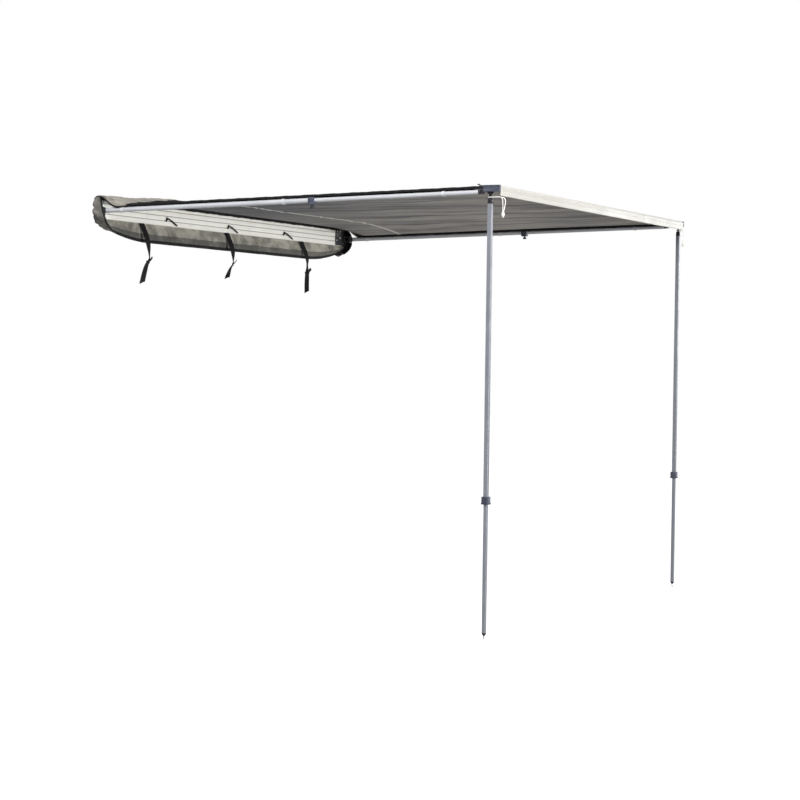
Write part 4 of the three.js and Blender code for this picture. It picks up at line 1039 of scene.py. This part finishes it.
def make_canopy_details():
    make_rear_hem()
    for side in SIDES:
        make_hem_skirt(side)
        make_corner_lashing(side)
    inner = CANOPY_HALF - TAPE_INSET
    wide = np.linspace(-inner, inner, 160)
    hem = np.linspace(CANOPY_FRONT + 0.001, CANOPY_FRONT + 0.028, 5)
    seam = np.linspace(SEAM_PLACE - SEAM_HALF, SEAM_PLACE + SEAM_HALF, 5)
    tape_under_canopy("canopy_rear_binding", "binding", wide, np.linspace(-0.050, -0.022, 6))
    tape_under_canopy("canopy_front_hem", "canopy_cloth", wide, hem)
    tape_under_canopy("canopy_seam", "seam_tape", wide, seam, 0.0007)
    line = np.linspace(-inner, inner, 500)
    for name, place, face in (
        ("front_hem_stitches_first", CANOPY_FRONT + 0.024, -1),
        ("front_hem_stitches_second", CANOPY_FRONT + 0.008, -1),
        ("seam_stitches_first", SEAM_PLACE - SEAM_STITCHES, -1),
        ("seam_stitches_second", SEAM_PLACE + SEAM_STITCHES, -1),
        ("seam_stitches_top", SEAM_PLACE, 1),
    ):
        canopy_stitches(name, line, np.full(500, place), face, "pale_thread")


make_canopy()
for side in SIDES:
    make_side_binding(side)
make_canopy_details()


# Cover: a lower flap that hangs open, a top flap laid over the canopy, and two end panels

CLOTH = 0.0014
TEETH_LIFT = 0.0011
TEETH_PITCH = 0.0032
TEETH_SIZE = (0.0010, 0.0022, 0.0010)


def laid_tape(name, grid, columns, material, face, lift=0.0002, thickness=0.001, over=0.0):
    """Tape sewn on one face of a cloth, over some columns of its grid. It may reach over the cloth's edge."""
    normal = grid_normals(grid)[:, columns] * face
    strip = grid[:, columns] + normal * (CLOTH / 2 + thickness / 2 + lift)
    if over:
        ahead = strip[:, -1] - strip[:, -2]
        ahead /= np.maximum(np.linalg.norm(ahead, axis=1, keepdims=True), TINY)
        strip = np.concatenate([strip, (strip[:, -1] + ahead * over)[:, None]], axis=1)
    place_sheet(name, strip, thickness, material)
    return strip[:, -1], normal[:, -1]


def sew_zip(name, grid, columns, face, end="", **tape):
    """A zip's half along a cloth's edge: its tape, and moulded teeth on the tape's outer edge."""
    edge, out = laid_tape(f"{name}_zip_tape{end}", grid, columns, "binding", face, **tape)
    places = run_places(edge + out * TEETH_LIFT, out, TEETH_PITCH)
    place_piece(blocks_mesh(f"{name}_zip_teeth{end}", places, TEETH_SIZE, 0.7), "zip_teeth")


LOWER_FLAP_DROP = 0.088
LOWER_FLAP_END_DROP = 0.008
LOWER_FLAP_ROUNDING = 0.45
LOWER_FLAP_SPREAD = 0.47


def lower_flap_drop(x):
    from_end = np.minimum((half_width - np.abs(x)) / LOWER_FLAP_ROUNDING, 1)
    return mix(LOWER_FLAP_END_DROP, LOWER_FLAP_DROP, (1 - (1 - from_end) ** 2) ** 0.8)


def lower_flap_point(x, share):
    """The lower flap from its seam under the plate (share 0) to its zip edge (share 1)."""
    y = -0.008 - 0.014 * np.sin(share * math.pi * 0.72)
    z = plate_bottom - REST_GAP - lower_flap_drop(x) * share
    return np.stack([x, y, z], axis=-1)


def make_lower_flap():
    angles = np.linspace(-LOWER_FLAP_SPREAD, LOWER_FLAP_SPREAD, 420) * math.pi
    across = half_width * 0.9996 * np.sin(angles) / math.sin(LOWER_FLAP_SPREAD * math.pi)
    x, share = np.meshgrid(across, np.linspace(0, 1, 24), indexing="ij")
    hold = smooth(share / 0.2) * (0.6 + 0.4 * smooth((0.98 - share) / 0.3))
    hold *= smooth(lower_flap_drop(x) / 0.06)
    grid = wrinkled(lower_flap_point(x, share), hold, (0.0060, 7), (0.0024, 26))
    flap = place_sheet("lower_flap", grid, CLOTH, "cover_lining", "cover_lower_flap")
    # A band of darker cloth along the lower flap's lower edge.
    laid_tape("lower_flap_band", grid, slice(-11, None), "cover_dark_band", -1, thickness=0.0008)
    sew_zip("lower", grid, slice(-4, None), -1, lift=0.0013, over=0.002)
    laid_tape("lower_zip_guard", grid, slice(-3, None), "binding", 1, over=0.002)


# Shares of the top flap's reach, lift and end droop, from its seam to the zip edge
TOP_FLAP_PROFILE = [
    (0.024, 0, 0), (0.024, 0.25, 0), (0.07, 0.62, 0), (0.17, 0.9, 0.15), (0.31, 1, 0.5),
    (0.45, 1, 0.95), (0.64, 0.96, 1), (0.84, 0.84, 0.45), (1, 0.66, 0.12),
]
TOP_FLAP_REACH = 0.180
TOP_FLAP_LIFT = 0.022
TOP_FLAP_DROOP = 0.028
TOP_FLAP_HALF = 1.2455
TOP_FLAP_GAP = 0.0012
# How far in from each end its columns are, and the share of the droop that they hang by
TOP_FLAP_BEND = np.array([
    (0.0, 1.0), (0.0, 0.8), (0.0, 0.6), (0.0, 0.4), (0.0, 0.22), (0.0006, 0.1), (0.0016, 0.03),
])


def make_top_flap():
    profile = curve_through([
        (forward * TOP_FLAP_REACH, lift * TOP_FLAP_LIFT, droop * TOP_FLAP_DROOP)
        for forward, lift, droop in TOP_FLAP_PROFILE
    ], 34)
    flat = np.linspace(-TOP_FLAP_HALF + 0.003, TOP_FLAP_HALF - 0.003, 400)
    inset, bend = TOP_FLAP_BEND.T
    x_line = np.r_[-TOP_FLAP_HALF + inset, flat, TOP_FLAP_HALF - inset[::-1]]
    hang = np.r_[bend, np.zeros(len(flat)), bend[::-1]][:, None]
    x = np.repeat(x_line[:, None], len(profile), axis=1)
    y = np.broadcast_to(-profile[None, :, 0], x.shape)
    lift = profile[None, :, 1] * (0.5 + 0.5 * smooth((half_width - np.abs(x)) / 0.5))
    z = canopy_form(x, np.minimum(y, PLATE_FACE)) + TOP_FLAP_GAP + lift - hang * profile[None, :, 2]
    share = np.linspace(0, 1, len(profile))[None, :]
    hold = smooth(share / 0.25) * (1 - 0.6 * smooth(hang / 0.2))
    grid = wrinkled(np.stack([x, y, z], axis=-1), hold, (0.0050, 9), (0.0020, 30))
    flap = place_sheet("top_flap", grid, CLOTH, "cover_cloth", "cover_top_flap")
    sew_zip("top", grid, slice(-2, None), 1, over=0.001)
    laid_tape("top_zip_guard", grid, slice(-2, None), "binding", -1, over=0.001)
    for side, ordered in (("left", grid), ("right", grid[::-1])):
        end_grid = np.swapaxes(ordered[1::-1, 8:], 0, 1)
        sew_zip("top_end", end_grid, slice(None), SIDES[side], f"_{side}", over=0.002)


END_PANEL_FORWARD = {"left": 0.060, "right": 0.066}
END_PANEL_FALL = 0.058
END_PANEL_BULGE = 0.058
END_PANEL_TUCK = 0.125
END_PANEL_GAP = 0.0013
END_PANEL_INSET = 0.004
END_PANEL_FOLD = 0.0026
SHADE_SHEET_THICKNESS = 0.0007
SHADE_SHEET_GAP = 0.0008


def end_panel_grid(side):
    """An end panel from its lower edge up and from the bracket forward, with its two shares."""
    up, along = np.meshgrid(np.linspace(0, 1, 72), np.linspace(0, 1, 48), indexing="ij")
    top = plate_top - END_PANEL_INSET + 0.006 * smooth(along / 0.5)
    bottom = plate_bottom - END_PANEL_INSET - END_PANEL_FALL * along ** 0.8
    waist = np.sin(math.pi * (0.2 + 0.66 * up)) ** 0.7
    y = -0.002 + (-END_PANEL_FORWARD[side] * waist + 0.002) * along
    past = np.maximum(along - 0.13, 0) / 0.87
    puff = np.sin(0.9 * math.pi * past) * np.sin(math.pi * (0.06 + 0.88 * up))
    tuck = END_PANEL_TUCK * past ** 2 * (1 - up) ** 4
    x = SIDES[side] * (half_width + END_PANEL_GAP + END_PANEL_BULGE * puff - tuck)
    return np.stack([x, y, mix(bottom, top, up)], axis=-1), along, up


def make_corner_gusset(side, panel_edge):
    """The folded cloth that joins an end panel's lower edge to the end of the lower flap, in black as painted
    shade.
    """
    x = panel_edge[:, 0]
    inside = SIDES[side] * np.minimum(np.abs(x) - 0.004, half_width * 0.998)
    flap_edge = lower_flap_point(inside, np.full_like(x, 0.97))
    flap_edge[:, 1] -= 0.0035
    share = np.linspace(0, 1, 8)[None, :, None]
    grid = panel_edge[:, None] * (1 - share) + flap_edge[:, None] * share
    grid[..., 2] -= 0.004 * np.sin(share[..., 0] * math.pi)
    place_sheet(f"corner_gusset_{side}", grid[2:, 1:], CLOTH, "black_shade_cloth")


def make_end_panel(side):
    grid, along, up = end_panel_grid(side)
    fan = np.sin(np.arctan2(up - 0.55, along + 0.12) * 13)
    fan *= smooth(along / 0.35) * smooth((1.02 - along) / 0.3)
    grid = grid + grid_normals(grid) * (END_PANEL_FOLD * fan)[..., None]
    grid = wrinkled(grid, smooth((along - 0.1) / 0.3), (0.0045, 16), (0.0026, 48))
    # The end panel takes the darker copy of the cover cloth, as painted shade.
    panel = place_sheet(f"end_panel_{side}", grid, CLOTH, "cover_end", f"cover_end_panel_{side}")
    normal = grid_normals(grid)
    # A black sheet just inside the panel: painted shade on its inner face.
    inner = -1 if normal[..., 0].mean() * SIDES[side] > 0 else 1
    shade_sheet = grid + normal * inner * (CLOTH / 2 + SHADE_SHEET_GAP)
    place_sheet(f"end_shade_sheet_{side}", shade_sheet[1:-1, 1:-1], SHADE_SHEET_THICKNESS, "black_shade_cloth")
    make_corner_gusset(side, grid[0])
    sew_zip("end", grid, slice(-3, None), -inner, f"_{side}", over=0.001)


make_lower_flap()
make_top_flap()
for side in SIDES:
    make_end_panel(side)


# Straps that hang from the plate's lower edge

STRAP_WIDTH = 0.025
STRAP_THICKNESS = 0.0016
STRAP_SEAM = -0.023
STRAP_HANG = 0.030
STRAP_COLUMNS = np.linspace(0, 1, 7)
STRAP_END_SLANT = 0.014
STRAP_TURN_WEIGHT = 0.05
STRAP_DROP = {"left": 0.290, "middle": 0.262, "right": 0.276}
STRAP_PLACE = {"left": -0.880, "middle": -0.075, "right": 0.730}
# Shares of the drop across, of the hang forward and of the drop down, and half turns of the strap
STRAP_ROUTE = {
    "left": [
        (0, 0, 0, -0.25), (0.01, 0.33, 0.086, -0.25), (0.024, 0.7, 0.19, -0.24),
        (0.045, 0.97, 0.317, -0.16), (0.083, 1, 0.515, 0.1), (0.093, 0.97, 0.570, 0.12),
        (0.012, 0.87, 0.710, -0.10), (-0.098, 0.83, 0.985, -0.3),
    ],
    "middle": [
        (0, 0, 0, -0.25), (0.011, 0.33, 0.095, -0.25), (0.031, 0.7, 0.21, -0.24),
        (0.053, 0.97, 0.351, -0.16), (0.070, 1, 0.535, 0.1), (0.076, 0.97, 0.590, 0.12),
        (-0.015, 0.87, 0.700, 0.02), (-0.125, 0.83, 0.885, -0.25),
    ],
    "right": [
        (0, 0, 0, -0.22), (0.014, 0.33, 0.09, -0.22), (0.036, 0.7, 0.2, -0.2),
        (0.058, 1, 0.333, -0.1), (0.069, 1, 0.471, 0.05), (0.072, 0.97, 0.688, -0.2),
        (0.076, 0.93, 0.851, -0.3), (0.087, 0.9, 1, -0.3),
    ],
}
STRAP_TAIL_SHARE = 0.64
STRAP_TAIL_WIDTH = 0.016
STRAP_TAIL_REACH = np.array([0.020, -0.012, 0.024])
SLIDER_HALF_WIDTH = 0.0145
SLIDER_BAR_RADIUS = 0.0017


def strap_tail(name, start, flat):
    """The short end above a strap's bend, and the slider it comes out of."""
    along = STRAP_TAIL_REACH / np.linalg.norm(STRAP_TAIL_REACH)
    across = flat - along * (flat @ along)
    across /= np.linalg.norm(across)
    out = np.cross(across, along)
    steps = np.linspace(0, 1, 14)
    bend = 0.002 * np.sin(steps * math.pi)
    centre = start + steps[:, None] * STRAP_TAIL_REACH + bend[:, None] * out
    grid = np.stack([centre + across * STRAP_TAIL_WIDTH * (k / 4 - 0.5) for k in range(5)], axis=1)
    bars = [((-1, height), (1, height)) for height in (-0.005, 0.0, 0.005)]
    bars += [((half, -0.006), (half, 0.006)) for half in (-1, 1)]
    meshes = [sheet_mesh("tail", grid, STRAP_THICKNESS)]
    for bar in bars:
        ends = [start + flat * half * SLIDER_HALF_WIDTH + (0, 0, height) for half, height in bar]
        meshes.append(tube_mesh("bar", np.linspace(*ends, 6), SLIDER_BAR_RADIUS, 8))
    return place_piece(joined_mesh(f"strap_tail_{name}", meshes), "webbing")


def make_strap(name):
    drop = STRAP_DROP[name]
    line = curve_through([
        (
            STRAP_PLACE[name] + drop * across,
            STRAP_SEAM - STRAP_HANG * forward,
            plate_bottom - REST_GAP - drop * down,
            math.pi * turn * STRAP_TURN_WEIGHT,
        )
        for across, forward, down, turn in STRAP_ROUTE[name]
    ], 120)
    turn = line[:, 3] / STRAP_TURN_WEIGHT
    level = np.zeros(len(turn))
    across = np.stack([np.cos(turn), np.sin(turn), level], axis=1)
    face = np.stack([np.sin(turn), -np.cos(turn), level], axis=1)
    centre = line[:, :3] + face * 0.001
    grid = np.stack([centre + across * STRAP_WIDTH * (column - 0.5) for column in STRAP_COLUMNS], axis=1)
    slant = STRAP_END_SLANT * (0.5 - STRAP_COLUMNS)
    grid[-1, :, 2] -= slant
    grid[-2, :, 2] -= slant / 2
    piece = place_sheet(f"strap_webbing_{name}", grid[::-1], STRAP_THICKNESS, "webbing", f"strap_{name}")
    bend = round(STRAP_TAIL_SHARE * (len(line) - 1))
    round(length_of(centre), 3)
    strap_tail(name, centre[bend], across[bend])


for name in STRAP_ROUTE:
    make_strap(name)


# Rivets that hold the plate's ends, and the right bracket's face plate

FACE_PLATE_THICKNESS = 0.0014
FACE_PLATE_GAP = 0.0002
FACE_PLATE_CORNERS = [
    (1.146, -0.0465), (1.2145, -0.0465), (1.2145, 0.0462), (1.158, 0.0462), (1.149, 0.030), (1.141, 0.0),
]
RIVET_PROFILE = [(0, 0), (0, 0.0042), (0.0006, 0.0044), (0.0014, 0.0036), (0.0019, 0.0018), (0.0020, 0)]
RIVET_PLACES = [(1.200, -0.004), (1.160, -0.018), (1.200, 0.034), (1.165, 0.034)]


def make_bracket_face():
    rear = plate_low.y - FACE_PLATE_GAP
    depths = (rear, rear - FACE_PLATE_THICKNESS)
    points = [(x, depth, z) for depth in depths for x, z in FACE_PLATE_CORNERS]
    count = len(FACE_PLATE_CORNERS)
    faces = [tuple(range(count)), tuple(range(2 * count - 1, count - 1, -1))]
    faces += [(k, k + count, (k + 1) % count + count, (k + 1) % count) for k in range(count)]
    place_piece(merge_and_face_out(mesh_from("bracket_face_right", points, faces)), "black_plastic")


def make_rivets():
    raised = {"left": 0.0, "right": FACE_PLATE_GAP + FACE_PLATE_THICKNESS}
    for side, sign in SIDES.items():
        for k, (x, z) in enumerate(RIVET_PLACES):
            start = (sign * x, plate_low.y - raised[side], z)
            mesh = turned_mesh(f"plate_rivet_{side}_{k}", start, (0, -1, 0), RIVET_PROFILE, 24)
            place_piece(mesh, "grey_plastic")


make_bracket_face()
make_rivets()


# Floor, light and background

FLOOR_HALF = 30
FLOOR_GREY = (0.5, 0.5, 0.5, 1)
FLOOR_GLOW = 0.88
WORLD_LIGHT = 0.37
WHITE = (1, 1, 1, 1)


def make_floor():
    """A pale floor that looks near white to the camera and keeps the object's shadow."""
    mesh = bpy.data.meshes.new("floor")
    turns = ((-1, -1), (1, -1), (1, 1), (-1, 1))
    corners = [(FLOOR_HALF * x, FLOOR_HALF * y, ground) for x, y in turns]
    mesh.from_pydata(corners, [], [(0, 1, 2, 3)])
    floor = bpy.data.objects.new("floor", mesh)
    bpy.context.scene.collection.objects.link(floor)
    material = bpy.data.materials.new("pale_floor")
    material.use_nodes = True
    tree = material.node_tree
    tree.nodes.clear()
    seen = add_node(tree, "ShaderNodeLightPath").outputs["Is Camera Ray"]
    strength = add_node(tree, "ShaderNodeMath", {0: seen, 1: FLOOR_GLOW}, operation="MULTIPLY").outputs[0]
    glow = add_node(tree, "ShaderNodeEmission", {"Strength": strength}).outputs[0]
    diffuse = add_node(tree, "ShaderNodeBsdfDiffuse", {"Color": FLOOR_GREY}).outputs[0]
    total = add_node(tree, "ShaderNodeAddShader", {0: diffuse, 1: glow}).outputs[0]
    add_node(tree, "ShaderNodeOutputMaterial", {"Surface": total})
    mesh.materials.append(material)


def make_world():
    """A white background for the camera and for reflections, which lights the object only softly."""
    world = bpy.data.worlds.new("studio")
    bpy.context.scene.world = world
    world.use_nodes = True
    tree = world.node_tree
    rays = add_node(tree, "ShaderNodeLightPath").outputs
    seen = rays["Is Camera Ray"]
    for ray in ("Is Glossy Ray", "Is Transmission Ray"):
        seen = add_node(tree, "ShaderNodeMath", {0: seen, 1: rays[ray]}, operation="MAXIMUM").outputs[0]
    inputs = {"Value": seen, "To Min": WORLD_LIGHT, "To Max": 1.0}
    strength = add_node(tree, "ShaderNodeMapRange", inputs).outputs[0]
    background = tree.nodes["Background"].inputs
    background["Color"].default_value = WHITE
    tree.links.new(strength, background["Strength"])


def area_light(name, place, target, size, power):
    data = bpy.data.lights.new(name, "AREA")
    data.shape = "DISK"
    data.size = size
    data.energy = power
    lamp = bpy.data.objects.new(name, data)
    lamp.location = place
    lamp.rotation_mode = "QUATERNION"
    lamp.rotation_quaternion = (Vector(target) - Vector(place)).to_track_quat("-Z", "Y")
    lamp.visible_camera = False
    bpy.context.scene.collection.objects.link(lamp)


make_floor()
make_world()
area_light("front_light", place=(0.5, -16, -0.8), target=(0, -1, -0.1), size=2.4, power=1650)
area_light("side_light", place=(8.5, -4.0, 0.6), target=(0.5, -1.6, 0), size=3.0, power=90)
area_light("top_light", place=(-6.5, -3.0, 4.0), target=(0, -1, 0), size=2.5, power=560)
bpy.context.scene.view_settings.view_transform = "Standard"
